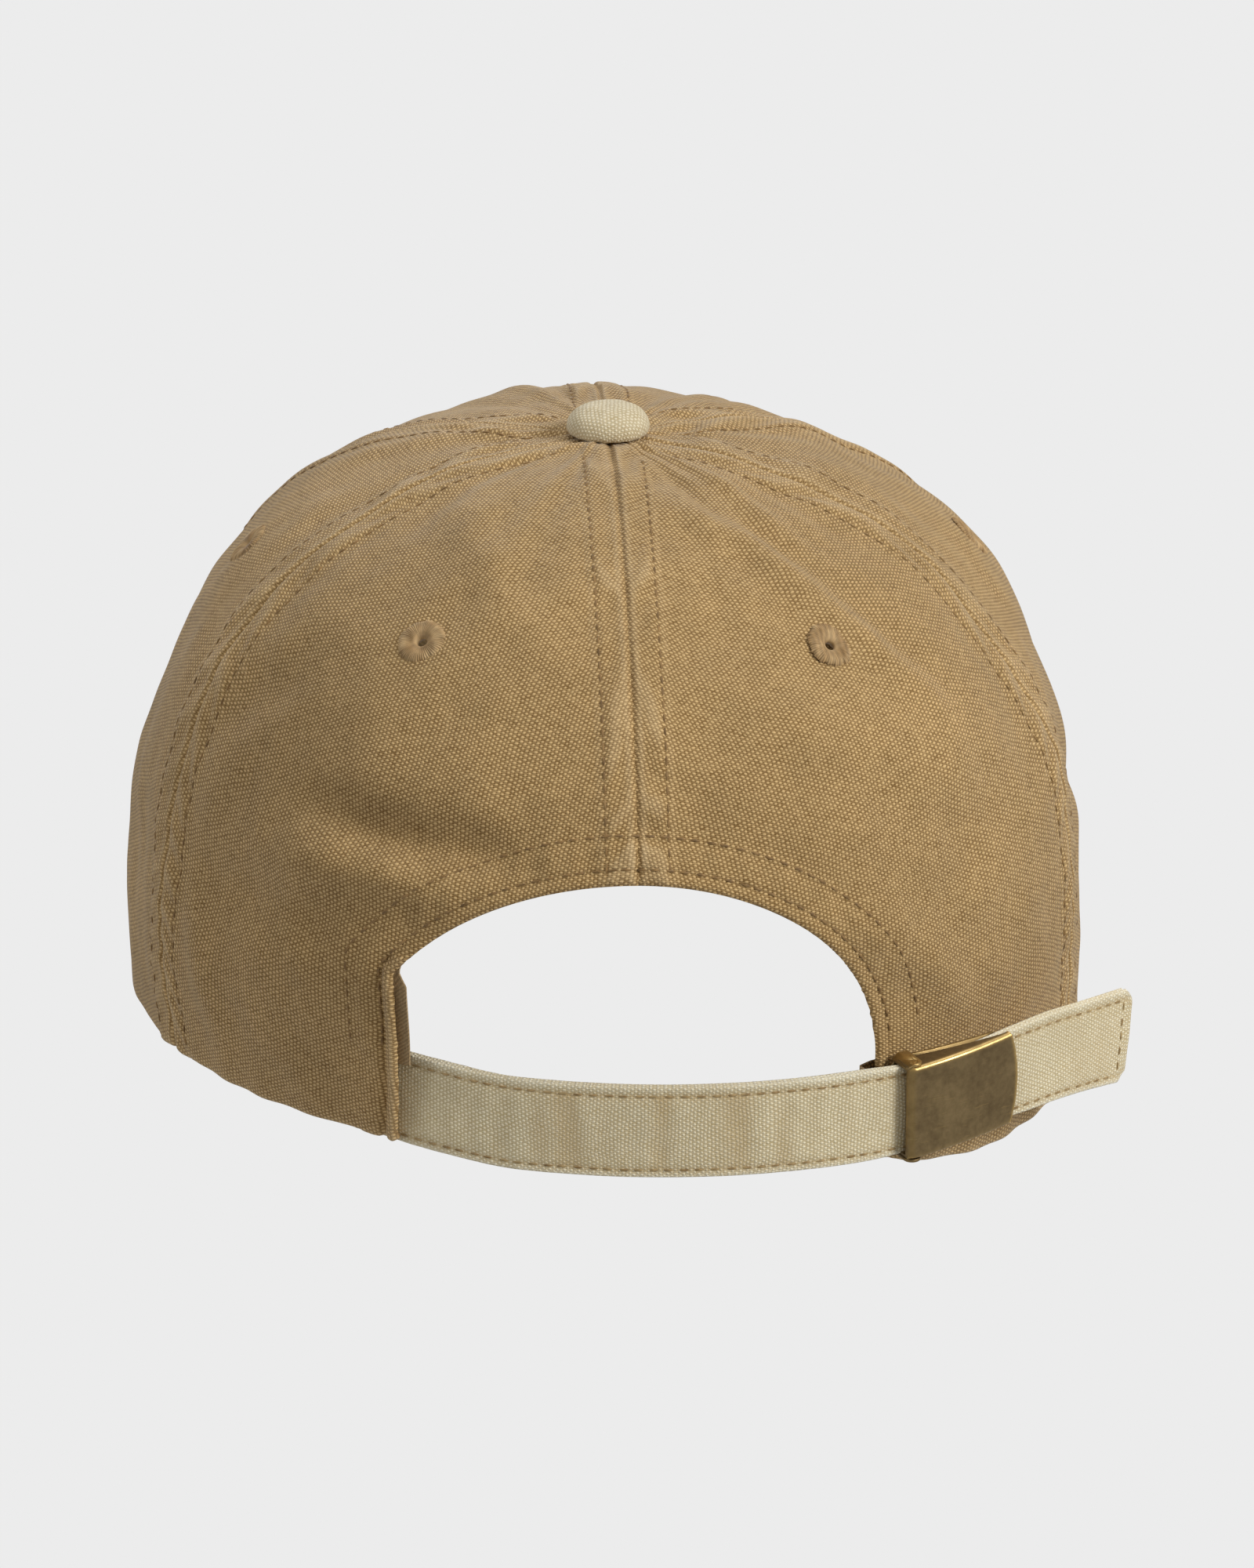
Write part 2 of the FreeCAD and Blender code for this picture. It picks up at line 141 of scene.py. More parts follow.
class SoftNoise:
    """Smooth random field of unit spread, made of seeded plane waves."""

    def __init__(self, seed: int, scale: float, waves: int = 26) -> None:
        """Draws the waves.

        Args:
            seed: which field this is.
            scale: typical wavelength in metres.
            waves: how many waves are summed.
        """
        draw = np.random.default_rng(seed)
        headings = unit_rows(draw.normal(size=(waves, 3)))
        lengths = scale * draw.uniform(0.7, 1.9, waves)
        self.vectors = 2 * math.pi * headings / lengths[:, None]
        self.phases = draw.uniform(0, 2 * math.pi, waves)
        self.share = math.sqrt(2 / waves)

    def at(self, points: Array) -> Array:
        """Value of the field at each point."""
        return np.sin(points @ self.vectors.T + self.phases).sum(1) * self.share


# ---- mesh making --------------------------------------------------------------------------------


FACE_OUT = partial(bpy.ops.mesh.normals_make_consistent, inside=False)
CLOSE_ENDS = partial(bpy.ops.mesh.fill_holes, sides=0)


def merge(gap: float = NEAR) -> Callable[[], object]:
    """The step that joins vertices closer than a gap."""
    return partial(bpy.ops.mesh.remove_doubles, threshold=gap)


def cut_at(level: float) -> Callable[[], object]:
    """The step that cuts level across at a height."""
    return partial(bpy.ops.mesh.bisect, plane_co=(0, 0, level), plane_no=(0, 0, 1))


def deselect_all() -> None:
    """Leaves nothing selected, in object mode."""
    if bpy.context.object is not None and bpy.context.object.mode != "OBJECT":
        bpy.ops.object.mode_set(mode="OBJECT")
    bpy.ops.object.select_all(action="DESELECT")


def make_active(piece: Piece) -> None:
    """Selects one piece and nothing else."""
    deselect_all()
    piece.select_set(True)
    bpy.context.view_layer.objects.active = piece


def edit(piece: Piece, *steps: Callable[[], object]) -> None:
    """Runs edit-mode steps, each on the whole of a piece."""
    make_active(piece)
    bpy.ops.object.mode_set(mode="EDIT")
    for step in steps:
        bpy.ops.mesh.select_all(action="SELECT")
        step()
    bpy.ops.object.mode_set(mode="OBJECT")


def read_rows(items: Sequence, name: str) -> Array:
    """A three-number property of a mesh's items, one row each."""
    flat = np.empty(len(items) * 3)
    items.foreach_get(name, flat)
    return flat.reshape(-1, 3)


def vertex_array(piece: Piece) -> Array:
    """The piece's vertices, one row each."""
    return read_rows(piece.data.vertices, "co")


def set_vertices(piece: Piece, places: Array) -> None:
    """Moves the piece's vertices."""
    piece.data.vertices.foreach_set("co", np.ascontiguousarray(places, dtype=np.float32).ravel())
    piece.data.update()


def paint_attribute(piece: Piece, name: str, values: Array) -> None:
    """Stores one number per vertex for the materials to read."""
    layer = piece.data.attributes.new(name, "FLOAT", "POINT")
    layer.data.foreach_set("value", values.astype(np.float32))


def set_uv(piece: Piece, flat: Array) -> None:
    """Gives the piece a map in metres, two numbers per vertex, so that a weave keeps its real pitch."""
    for layer in list(piece.data.uv_layers):
        piece.data.uv_layers.remove(layer)
    layer = piece.data.uv_layers.new(name="cloth")
    corners = np.empty(len(piece.data.loops), dtype=np.int32)
    piece.data.loops.foreach_get("vertex_index", corners)
    layer.data.foreach_set("uv", flat[corners].astype(np.float32).ravel())


def grid_piece(name: str, columns: int, rows: int, place: Place, flat: Place, **painted: Place) -> Piece:
    """A sheet of quads laid out by a rule.

    Args:
        name: the piece's name.
        columns: faces across.
        rows: faces up.
        place: the point for each column share and row share, both 0 to 1.
        flat: the cloth map's two coordinates for the same shares.
        **painted: rules for numbers that the materials read, by attribute name.

    Returns:
        The new object, at the origin.
    """
    deselect_all()
    bpy.ops.mesh.primitive_grid_add(x_subdivisions=columns, y_subdivisions=rows, size=2)
    piece = bpy.context.object
    piece.name = piece.data.name = name
    start = vertex_array(piece)
    across = np.rint((start[:, 0] + 1) / 2 * columns) / columns
    upward = np.rint((start[:, 1] + 1) / 2 * rows) / rows
    set_vertices(piece, place(across, upward))
    set_uv(piece, flat(across, upward))
    for attribute, rule in painted.items():
        paint_attribute(piece, attribute, rule(across, upward))
    return piece


def face_away_from(piece: Piece, inside: Array) -> None:
    """Turns a sheet's faces away from a point, or one point per vertex, on its inner side."""
    normals = read_rows(piece.data.vertices, "normal")
    if np.mean(np.sum(normals * (vertex_array(piece) - inside), axis=1)) < 0:
        edit(piece, bpy.ops.mesh.flip_normals)


def apply_modifier(piece: Piece, kind: str, **settings: object) -> None:
    """Adds a modifier of a kind with its settings and applies it."""
    make_active(piece)
    modifier = piece.modifiers.new(kind.lower(), kind)
    for key, value in settings.items():
        setattr(modifier, key, value)
    bpy.ops.object.modifier_apply(modifier=modifier.name)


def thicken(piece: Piece, thickness: float) -> None:
    """Gives a sheet its thickness, inwards."""
    apply_modifier(piece, "SOLIDIFY", thickness=thickness, offset=-1, use_rim=True)


def round_edges(piece: Piece, width: float, segments: int, degrees: float) -> None:
    """Bevels the edges that are sharper than an angle."""
    apply_modifier(piece, "BEVEL", width=width, segments=segments, limit_method="ANGLE",
                   angle_limit=math.radians(degrees), harden_normals=False)


def delete_faces(piece: Piece, doomed: Array) -> None:
    """Deletes the faces of a piece whose truth value is set."""
    make_active(piece)
    bpy.ops.object.mode_set(mode="EDIT")
    bpy.ops.mesh.select_mode(type="FACE")
    bpy.ops.mesh.select_all(action="DESELECT")
    bpy.ops.object.mode_set(mode="OBJECT")
    piece.data.polygons.foreach_set("select", doomed.astype(bool))
    bpy.ops.object.mode_set(mode="EDIT")
    bpy.ops.mesh.delete(type="FACE")
    bpy.ops.object.mode_set(mode="OBJECT")


def smooth(piece: Piece, degrees: float = 55.0) -> None:
    """Shades a piece smooth, but for edges sharper than an angle."""
    make_active(piece)
    bpy.ops.object.shade_smooth_by_angle(angle=math.radians(degrees))


def finish_piece(piece: Piece, body: str, finish: "Finish", *stands_for: str) -> None:
    """Dresses a piece, hangs it on its body and reports it.

    Args:
        piece: the finished mesh.
        body: the CAD body it moves with.
        finish: its surface.
        *stands_for: the CAD nodes it is shown in place of.
    """
    piece.data.materials.clear()
    piece.data.materials.append(finish.material())
    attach(piece, body)
    if stands_for:
        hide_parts(*stands_for)
    LOG.info("%s: %d faces on %s", piece.name, len(piece.data.polygons), body)


def finish_sheet(piece: Piece, inside: Array, thickness: float, finish: "Finish", node: str) -> None:
    """Turns a sheet outwards, gives it its thickness and finishes it on the cap.

    Args:
        piece: the sheet.
        inside: a point, or one point per vertex, on its inner side.
        thickness: of the cloth.
        finish: its surface.
        node: the CAD node it is shown in place of.
    """
    face_away_from(piece, inside)
    thicken(piece, thickness)
    smooth(piece)
    finish_piece(piece, CROWN_BODY, finish, node)


# ---- shader benches -----------------------------------------------------------------------------


class NodeBench:
    """Adds and links shader nodes in one tree."""

    def __init__(self, tree: Tree) -> None:
        """Keeps the tree that is worked on."""
        self.tree = tree

    def plug(self, target: Socket, source: Feed) -> None:
        """Links a socket, or sets its value."""
        if isinstance(source, Socket):
            self.tree.links.new(source, target)
        else:
            target.default_value = source

    def node(self, kind: str, feeds: dict[str, Feed], **settings: object) -> Node:
        """A new node.

        Args:
            kind: its type.
            feeds: what goes into its inputs.
            **settings: its properties.

        Returns:
            The node.
        """
        made = self.tree.nodes.new(kind)
        for key, value in settings.items():
            setattr(made, key, value)
        for key, value in feeds.items():
            self.plug(made.inputs[key], value)
        return made

    def sum(self, operation: str, *values: Feed) -> Socket:
        """The result of a Math node."""
        return self.node("ShaderNodeMath", dict(enumerate(values)), operation=operation).outputs[0]

    def times(self, first: Feed, second: Feed) -> Socket:
        """Two values multiplied."""
        return self.sum("MULTIPLY", first, second)

    def scaled(self, value: Feed, factor: Feed, added: Feed) -> Socket:
        """A value times a factor, with another added."""
        return self.sum("MULTIPLY_ADD", value, factor, added)

    def about_half(self, value: Feed) -> Socket:
        """A value less one half."""
        return self.sum("SUBTRACT", value, 0.5)

    def noise(self, vector: Feed, scale: Feed, detail: float = 2.0, roughness: float = 0.5,
              output: str = "Fac") -> Socket:
        """An output of a Noise Texture."""
        feeds = {"Vector": vector, "Scale": scale, "Detail": detail, "Roughness": roughness}
        return self.node("ShaderNodeTexNoise", feeds).outputs[output]

    def axes(self, vector: Feed) -> Sequence[Socket]:
        """A vector's three numbers."""
        return self.node("ShaderNodeSeparateXYZ", {"Vector": vector}).outputs

    def fit(self, value: Feed, low: float, high: float, to_low: float = 0.0, to_high: float = 1.0) -> Socket:
        """A value moved from one range to another, clamped."""
        feeds = {"Value": value, "From Min": low, "From Max": high, "To Min": to_low, "To Max": to_high}
        return self.node("ShaderNodeMapRange", feeds).outputs[0]

    def mix(self, share: Feed, first: Feed, second: Feed, blend: str = "MIX") -> Socket:
        """Two colours mixed."""
        first, second = ((*c, 1.0) if isinstance(c, tuple) else c for c in (first, second))
        made = self.node("ShaderNodeMix", {}, data_type="RGBA", blend_type=blend)
        for slot, value in ((0, share), (6, first), (7, second)):
            self.plug(made.inputs[slot], value)
        return made.outputs[2]

    def shaded(self, colour: Feed, value: Feed) -> Socket:
        """A colour multiplied by a value."""
        grey = self.node("ShaderNodeCombineColor", {"Red": value, "Green": value, "Blue": value})
        return self.mix(1.0, colour, grey.outputs[0], "MULTIPLY")

    def bump(self, height: Feed, distance: float, strength: float = 1.0) -> Socket:
        """A bumped normal."""
        feeds = {"Height": height, "Distance": distance, "Strength": strength}
        return self.node("ShaderNodeBump", feeds).outputs[0]

    def painted(self, name: str) -> Socket:
        """The number painted on the piece under this name."""
        return self.node("ShaderNodeAttribute", {}, attribute_name=name).outputs["Fac"]

    def cloth_map(self) -> Socket:
        """The piece's cloth map."""
        return self.node("ShaderNodeUVMap", {}, uv_map="cloth").outputs[0]

    def clouds(self, place: Feed, density: float) -> Socket:
        """Blotches of this many patches per metre."""
        return Effect.BLOTCHES.place_in(self, {"Vector": place, "Patches per metre": density}).outputs[0]


class Effect(Enum):
    """Shader node groups that several finishes share."""

    PLAIN_WEAVE = "plain_weave"
    TWILL_WEAVE = "twill_weave"
    BLOTCHES = "blotches"

    def group(self) -> Tree:
        """The group, built the first time it is asked for."""
        makers = {Effect.PLAIN_WEAVE: build_plain_weave, Effect.TWILL_WEAVE: build_twill_weave,
                  Effect.BLOTCHES: build_blotches}
        return bpy.data.node_groups.get(self.value) or makers[self](self.value)

    def place_in(self, bench: NodeBench, feeds: dict[str, Feed]) -> Node:
        """Puts the group into a material with these feeds, and gives its node."""
        made = bench.node("ShaderNodeGroup", {}, node_tree=self.group())
        for key, value in feeds.items():
            bench.plug(made.inputs[key], value)
        return made


def new_group(name: str, numbers: Sequence[str], outputs: Sequence[str]) -> tuple[NodeBench, dict, Node]:
    """An empty shader node group with a vector input.

    Args:
        name: the group's name.
        numbers: names of its inputs that are single numbers.
        outputs: names of its outputs, all single numbers.

    Returns:
        A bench for its tree, its input sockets by name, and its output node.
    """
    tree = bpy.data.node_groups.new(name, "ShaderNodeTree")
    tree.interface.new_socket(name="Vector", in_out="INPUT", socket_type="NodeSocketVector")
    for direction, labels in (("INPUT", numbers), ("OUTPUT", outputs)):
        for label in labels:
            tree.interface.new_socket(name=label, in_out=direction, socket_type="NodeSocketFloat")
    start = tree.nodes.new("NodeGroupInput")
    end = tree.nodes.new("NodeGroupOutput")
    return NodeBench(tree), {label: start.outputs[label] for label in ("Vector", *numbers)}, end


def wandering_yarns(bench: NodeBench, given: dict) -> tuple[Socket, Socket]:
    """Cloth coordinates counted in yarns, with the yarns wandering a little.

    Args:
        bench: the group's bench.
        given: the group's inputs.

    Returns:
        The count across the warp and the count across the weft.
    """
    flat = given["Vector"]
    flat_parts = bench.axes(flat)
    slow = bench.axes(bench.noise(flat, 55.0, 1.0, output="Color"))
    quick = bench.axes(bench.noise(flat, 620.0, 1.0, output="Color"))
    counts = []
    for axis, density in enumerate(("Ends per metre", "Picks per metre")):
        straight = bench.times(flat_parts[axis], given[density])
        sway = bench.scaled(bench.about_half(slow[axis]), 3.0, straight)
        counts.append(bench.scaled(bench.about_half(quick[axis]), 0.75, sway))
    return counts[0], counts[1]


def yarn_tone(bench: NodeBench, yarn: Feed, along: Feed, shift: float) -> Socket:
    """Tone of one yarn, about 0.5, drifting along it.

    Args:
        bench: the group's bench.
        yarn: the yarn's whole number.
        along: the count of crossings along it.
        shift: keeps warp and weft apart.

    Returns:
        The tone.
    """
    spot = bench.node("ShaderNodeCombineXYZ", {"X": bench.scaled(yarn, 3.71, shift), "Y": bench.times(along, 0.3)})
    return bench.noise(spot.outputs[0], 1.0, 3.0, 0.65)


def build_plain_weave(name: str) -> Tree:
    """Duck weave: plump ends show as staggered beads, the thin picks lie low between them."""
    bench, given, end = new_group(name, ("Ends per metre", "Picks per metre", "Slub"), ("Height", "Tone"))
    counts = wandering_yarns(bench, given)
    yarns = [bench.sum("ROUND", count) for count in counts]
    warp_cross, weft_cross = (
        bench.sum("COSINE", bench.times(bench.sum("SUBTRACT", count, yarn), math.pi))
        for count, yarn in zip(counts, yarns))
    phase = bench.times(bench.sum("ADD", yarns[0], counts[1]), math.pi)
    lift_warp = bench.scaled(bench.sum("COSINE", phase), 0.5, 0.5)
    tone = bench.scaled(yarn_tone(bench, yarns[0], counts[1], 0.0), 0.6,
                        bench.times(yarn_tone(bench, yarns[1], counts[0], 311.0), 0.4))
    top = bench.sum("MAXIMUM", bench.times(warp_cross, lift_warp), bench.times(weft_cross, 0.34))
    swell = bench.scaled(bench.about_half(tone), given["Slub"], 1.0)
    bench.plug(end.inputs["Height"], bench.times(top, swell))
    bench.plug(end.inputs["Tone"], tone)
    return bench.tree


def build_twill_weave(name: str) -> Tree:
    """Twill: fine diagonal ribs broken into short floats."""
    bench, given, end = new_group(name, ("Ends per metre", "Picks per metre"), ("Height", "Tone"))
    warp_count, weft_count = wandering_yarns(bench, given)
    rib = bench.sum("COSINE", bench.times(bench.sum("ADD", warp_count, weft_count), 2 * math.pi / 3))
    yarn = bench.sum("COSINE", bench.times(warp_count, 2 * math.pi))
    bench.plug(end.inputs["Height"], bench.scaled(rib, 0.35, bench.scaled(yarn, 0.15, 0.5)))
    bench.plug(end.inputs["Tone"], yarn_tone(bench, bench.sum("ROUND", warp_count), weft_count, 77.0))
    return bench.tree


def build_blotches(name: str) -> Tree:
    """Soft cloudy patches of two sizes, about 0.5."""
    bench, given, end = new_group(name, ("Patches per metre",), ("Value",))
    large = bench.noise(given["Vector"], given["Patches per metre"], 3.0, 0.55)
    small = bench.noise(given["Vector"], bench.times(given["Patches per metre"], 7.0), 2.0, 0.6)
    bench.plug(end.inputs["Value"], bench.sum("ADD", bench.times(large, 0.65), bench.times(small, 0.35)))
    return bench.tree


def blank_material(name: str) -> tuple[Material, NodeBench, Node]:
    """A new material with a bare Principled BSDF, with a bench for its tree and that node."""
    made = bpy.data.materials.new(name)
    made.use_nodes = True
    principled = next(node for node in made.node_tree.nodes if node.type == "BSDF_PRINCIPLED")
    return made, NodeBench(made.node_tree), principled


@dataclass(frozen=True)
class Finish:
    """A surface with a name and the record's material slot it belongs to."""

    name: str
    slot: str

    def material(self) -> Material:
        """The finish's material, made the first time."""
        return bpy.data.materials.get(self.name) or self.make()

    def make(self) -> Material:
        """Builds the material: a Principled BSDF fed by the finish's pattern."""
        made, bench, principled = blank_material(self.name)
        place = bench.node("ShaderNodeTexCoord", {}).outputs["Object"]
        for name, feed in self.pattern(bench, place).items():
            bench.plug(principled.inputs[name], feed)
        return made

    def pattern(self, bench: NodeBench, place: Feed) -> dict[str, Feed]:
        """What goes into the Principled BSDF's inputs; place is the spot on the piece."""
        raise NotImplementedError(self.name)


@dataclass(frozen=True)
class CanvasFinish(Finish):
    """Washed duck canvas: painted shade between the yarns and a painted highlight on their tops."""

    gap_shade: Colour
    light: Colour
    worn: Colour
    shade_and_stain: Colour
    ends_per_metre: float = 1340.0
    picks_per_metre: float = 2660.0
    slub: float = 0.9
    bump: float = 0.15 * MM
    fade: float = 0.14

    def pattern(self, bench: NodeBench, place: Feed) -> dict[str, Feed]:
        """Yarns with painted shade in the gaps and highlight on top, faded patches, worn lips, painted ripple shade,
        faint staining.
        """
        weave = Effect.PLAIN_WEAVE.place_in(bench, {
            "Vector": bench.cloth_map(), "Ends per metre": self.ends_per_metre,
            "Picks per metre": self.picks_per_metre, "Slub": self.slub}).outputs
        clouds = bench.clouds(place, 28.0)
        raised = bench.fit(weave["Height"], 0.08, 0.74)
        toned = bench.scaled(bench.about_half(weave["Tone"]), 0.8, raised)
        # Painted shade in the gaps between the yarns, painted highlight on their raised tops.
        colour = bench.mix(bench.fit(toned, 0.0, 1.0), self.gap_shade, self.light)
        colour = bench.shaded(colour, bench.fit(clouds, 0.3, 0.7, 1 - self.fade, 1 + self.fade))
        patchy = bench.times(bench.painted("worn"), bench.fit(clouds, 0.35, 0.6, 0.35, 1.0))
        patchy = bench.times(patchy, bench.fit(raised, 0.0, 1.0, 0.4, 1.0))
        colour = bench.mix(patchy, colour, self.worn)
        height = bench.scaled(bench.noise(place, 2600.0), 0.3, weave["Height"])
        # Mixed towards painted shade where the strap's ripples and stitched rows sink, with faint staining.
        return {"Base Color": bench.mix(bench.painted("stained"), colour, self.shade_and_stain),
                "Normal": bench.bump(height, self.bump), "Roughness": 0.92,
                "Specular IOR Level": 0.18, "Sheen Weight": 0.26, "Sheen Roughness": 0.42}


@dataclass(frozen=True)
class TwillFinish(Finish):
    """Fine cotton twill, for the sweatband and the seam tapes."""

    dark: Colour
    light: Colour
    yarns_per_metre: float = 3000.0

    def pattern(self, bench: NodeBench, place: Feed) -> dict[str, Feed]:
        """Diagonal ribs, yarn tones and faint patches."""
        weave = Effect.TWILL_WEAVE.place_in(bench, {
            "Vector": bench.cloth_map(), "Ends per metre": self.yarns_per_metre,
            "Picks per metre": self.yarns_per_metre}).outputs
        colour = bench.mix(bench.fit(weave["Tone"], 0.3, 0.7), self.dark, self.light)
        shade = bench.times(bench.fit(weave["Height"], 0.1, 0.8, 0.72, 1.05),
                            bench.fit(bench.clouds(place, 35.0), 0.3, 0.7, 0.92, 1.06))
        return {"Base Color": bench.shaded(colour, shade), "Normal": bench.bump(weave["Height"], 0.06 * MM),
                "Roughness": 0.85, "Specular IOR Level": 0.2, "Sheen Weight": 0.08}


@dataclass(frozen=True)
class ThreadFinish(Finish):
    """Spun sewing thread with a visible twist."""

    dark: Colour
    light: Colour
    twist_scale: float = 400.0

    def pattern(self, bench: NodeBench, place: Feed) -> dict[str, Feed]:
        """Twist ridges with painted shade in their grooves, a tone that changes from stitch to stitch, and painted
        shade between stitches.
        """
        colour = bench.mix(bench.fit(bench.noise(place, 420.0), 0.3, 0.7), self.dark, self.light)
        twist = bench.node("ShaderNodeTexWave", {
            "Vector": place, "Scale": self.twist_scale, "Distortion": 1.5, "Detail": 1.0},
            wave_type="BANDS", bands_direction="DIAGONAL").outputs["Fac"]
        # Painted shade: darker in the twist's grooves and, where painted, in the grooves between the stitches.
        shade = bench.times(bench.fit(twist, 0.0, 1.0, 0.78, 1.05),
                            bench.fit(bench.painted("between"), 0.0, 1.0, 1.0, 0.5))
        return {"Base Color": bench.shaded(colour, shade), "Normal": bench.bump(twist, 0.04 * MM),
                "Roughness": 0.6, "Specular IOR Level": 0.35, "Sheen Weight": 0.1}


@dataclass(frozen=True)
class BrassFinish(Finish):
    """Metal with a brown patina, worn bare on edges, and a painted highlight along the lever's upper fold."""

    patina: Colour
    patina_light: Colour
    bright: Colour
    rough_low: float = 0.34
    rough_high: float = 0.55

    def pattern(self, bench: NodeBench, place: Feed) -> dict[str, Feed]:
        """Cloudy patina, fine rubbing lines, and bright edges that are partly worn bare and partly painted highlight.
        """
        clouds = bench.clouds(place, 130.0)
        drawn = bench.node("ShaderNodeMapping", {"Vector": place, "Scale": (260.0, 260.0, 4200.0)}).outputs[0]
        lines = bench.noise(drawn, 1.0, 3.0, 0.6)
        rubbed = bench.painted("rubbed")
        # Edges mixed to bright brass: partly wear, partly painted highlight.
        edge = bench.times(rubbed, bench.fit(clouds, 0.25, 0.55, 0.55, 1.0))
        colour = bench.mix(edge, bench.mix(bench.fit(clouds, 0.35, 0.65), self.patina, self.patina_light), self.bright)
        colour = bench.mix(bench.fit(lines, 0.62, 0.75, 0.0, 0.25), colour, self.bright)
        rough = bench.sum("SUBTRACT", bench.fit(clouds, 0.3, 0.7, self.rough_high, self.rough_low),
                          bench.times(rubbed, 0.12))
        relief = bench.scaled(lines, 0.5, clouds)
        return {"Base Color": colour, "Metallic": 0.92, "Roughness": rough,
                "Normal": bench.bump(relief, 0.03 * MM, 0.6)}


@dataclass(frozen=True)
class MouldedFinish(Finish):
    """Plain moulded, pressed or felted matter with a fine grain."""

    dark: Colour
    light: Colour
    grain: float = 900.0
    roughness: float = 0.6
    metallic: float = 0.0
    bump: float = 0.03 * MM

    def pattern(self, bench: NodeBench, place: Feed) -> dict[str, Feed]:
        """Two tones in a fine grain."""
        speckle = bench.noise(place, self.grain, 3.0, 0.6)
        rough = bench.fit(speckle, 0.3, 0.7, self.roughness - 0.08, self.roughness + 0.08)
        return {"Base Color": bench.mix(bench.fit(speckle, 0.3, 0.7), self.dark, self.light),
                "Metallic": self.metallic, "Roughness": rough, "Normal": bench.bump(speckle, self.bump)}


# First colour of each canvas: painted shade between the yarns; second: painted highlight on their tops; last: painted
# shade for the strap's ripple hollows and rows, with faint staining.
TAN_CANVAS = CanvasFinish("tan_canvas_cloth", "tan_canvas", gap_shade=srgb(110, 80, 38), light=srgb(212, 181, 130),
                          worn=srgb(222, 198, 158), shade_and_stain=srgb(150, 116, 70))
CREAM_CANVAS = CanvasFinish("cream_canvas_cloth", "cream_canvas", gap_shade=srgb(190, 171, 128),
                            light=srgb(246, 238, 212), worn=srgb(243, 241, 226), shade_and_stain=srgb(186, 160, 114),
                            ends_per_metre=1590.0, picks_per_metre=2740.0, slub=1.0, fade=0.05)
BUTTON_CANVAS = CanvasFinish("button_canvas_cloth", "cream_canvas", gap_shade=srgb(180, 162, 124),
                             light=srgb(232, 223, 198), worn=srgb(236, 230, 212), shade_and_stain=srgb(184, 156, 110),
                             ends_per_metre=1450.0, picks_per_metre=2600.0, slub=1.1, fade=0.05)
COTTON_TAPE = TwillFinish("cotton_tape_cloth", "cotton_tape", dark=srgb(150, 126, 92), light=srgb(180, 156, 120),
                          yarns_per_metre=4200.0)
SWEAT_TWILL = TwillFinish("sweatband_twill_cloth", "sweatband_twill", dark=srgb(168, 142, 102),
                          light=srgb(196, 172, 132), yarns_per_metre=3000.0)
TAN_THREAD = ThreadFinish("tan_thread_yarn", "tan_thread", dark=srgb(116, 88, 50), light=srgb(156, 124, 78))
EYELET_THREAD = ThreadFinish("eyelet_thread_yarn", "tan_thread", dark=srgb(160, 126, 80), light=srgb(208, 177, 130))
STRAP_THREAD = ThreadFinish("strap_thread_yarn", "tan_thread", dark=srgb(144, 116, 74), light=srgb(184, 160, 116))
ANTIQUE_BRASS = BrassFinish("antique_brass_metal", "antique_brass", patina=srgb(112, 95, 68),
                            patina_light=srgb(150, 130, 94), bright=srgb(222, 188, 120))
STEEL = MouldedFinish("stamped_steel", "steel", dark=srgb(150, 150, 150), light=srgb(190, 190, 188),
                      grain=700.0, roughness=0.35, metallic=0.95, bump=0.01 * MM)
NONWOVEN = MouldedFinish("nonwoven_felt", "interlining", dark=srgb(206, 202, 192), light=srgb(232, 229, 221),
                         grain=1400.0, roughness=0.9, bump=0.12 * MM)
VISOR_PLASTIC = MouldedFinish("visor_board_plastic", "visor_plastic", dark=srgb(214, 212, 206),
                              light=srgb(230, 229, 224), grain=400.0, roughness=0.5)
WHITE_SATIN = TwillFinish("white_satin_cloth", "white_satin", dark=srgb(222, 220, 214), light=srgb(240, 239, 235),
                          yarns_per_metre=7000.0)


# ---- the crown's form ---------------------------------------------------------------------------


@dataclass(frozen=True)
class Seam:
    """A crown seam: azimuth at the hem and its drift up to the apex, degrees from the rear."""

    name: str
    start: float
    drift: float = 0.0

    def azimuth(self, height: Array) -> Array:
        """Azimuth in radians at a height share."""
        return np.radians(self.start + self.drift * height)


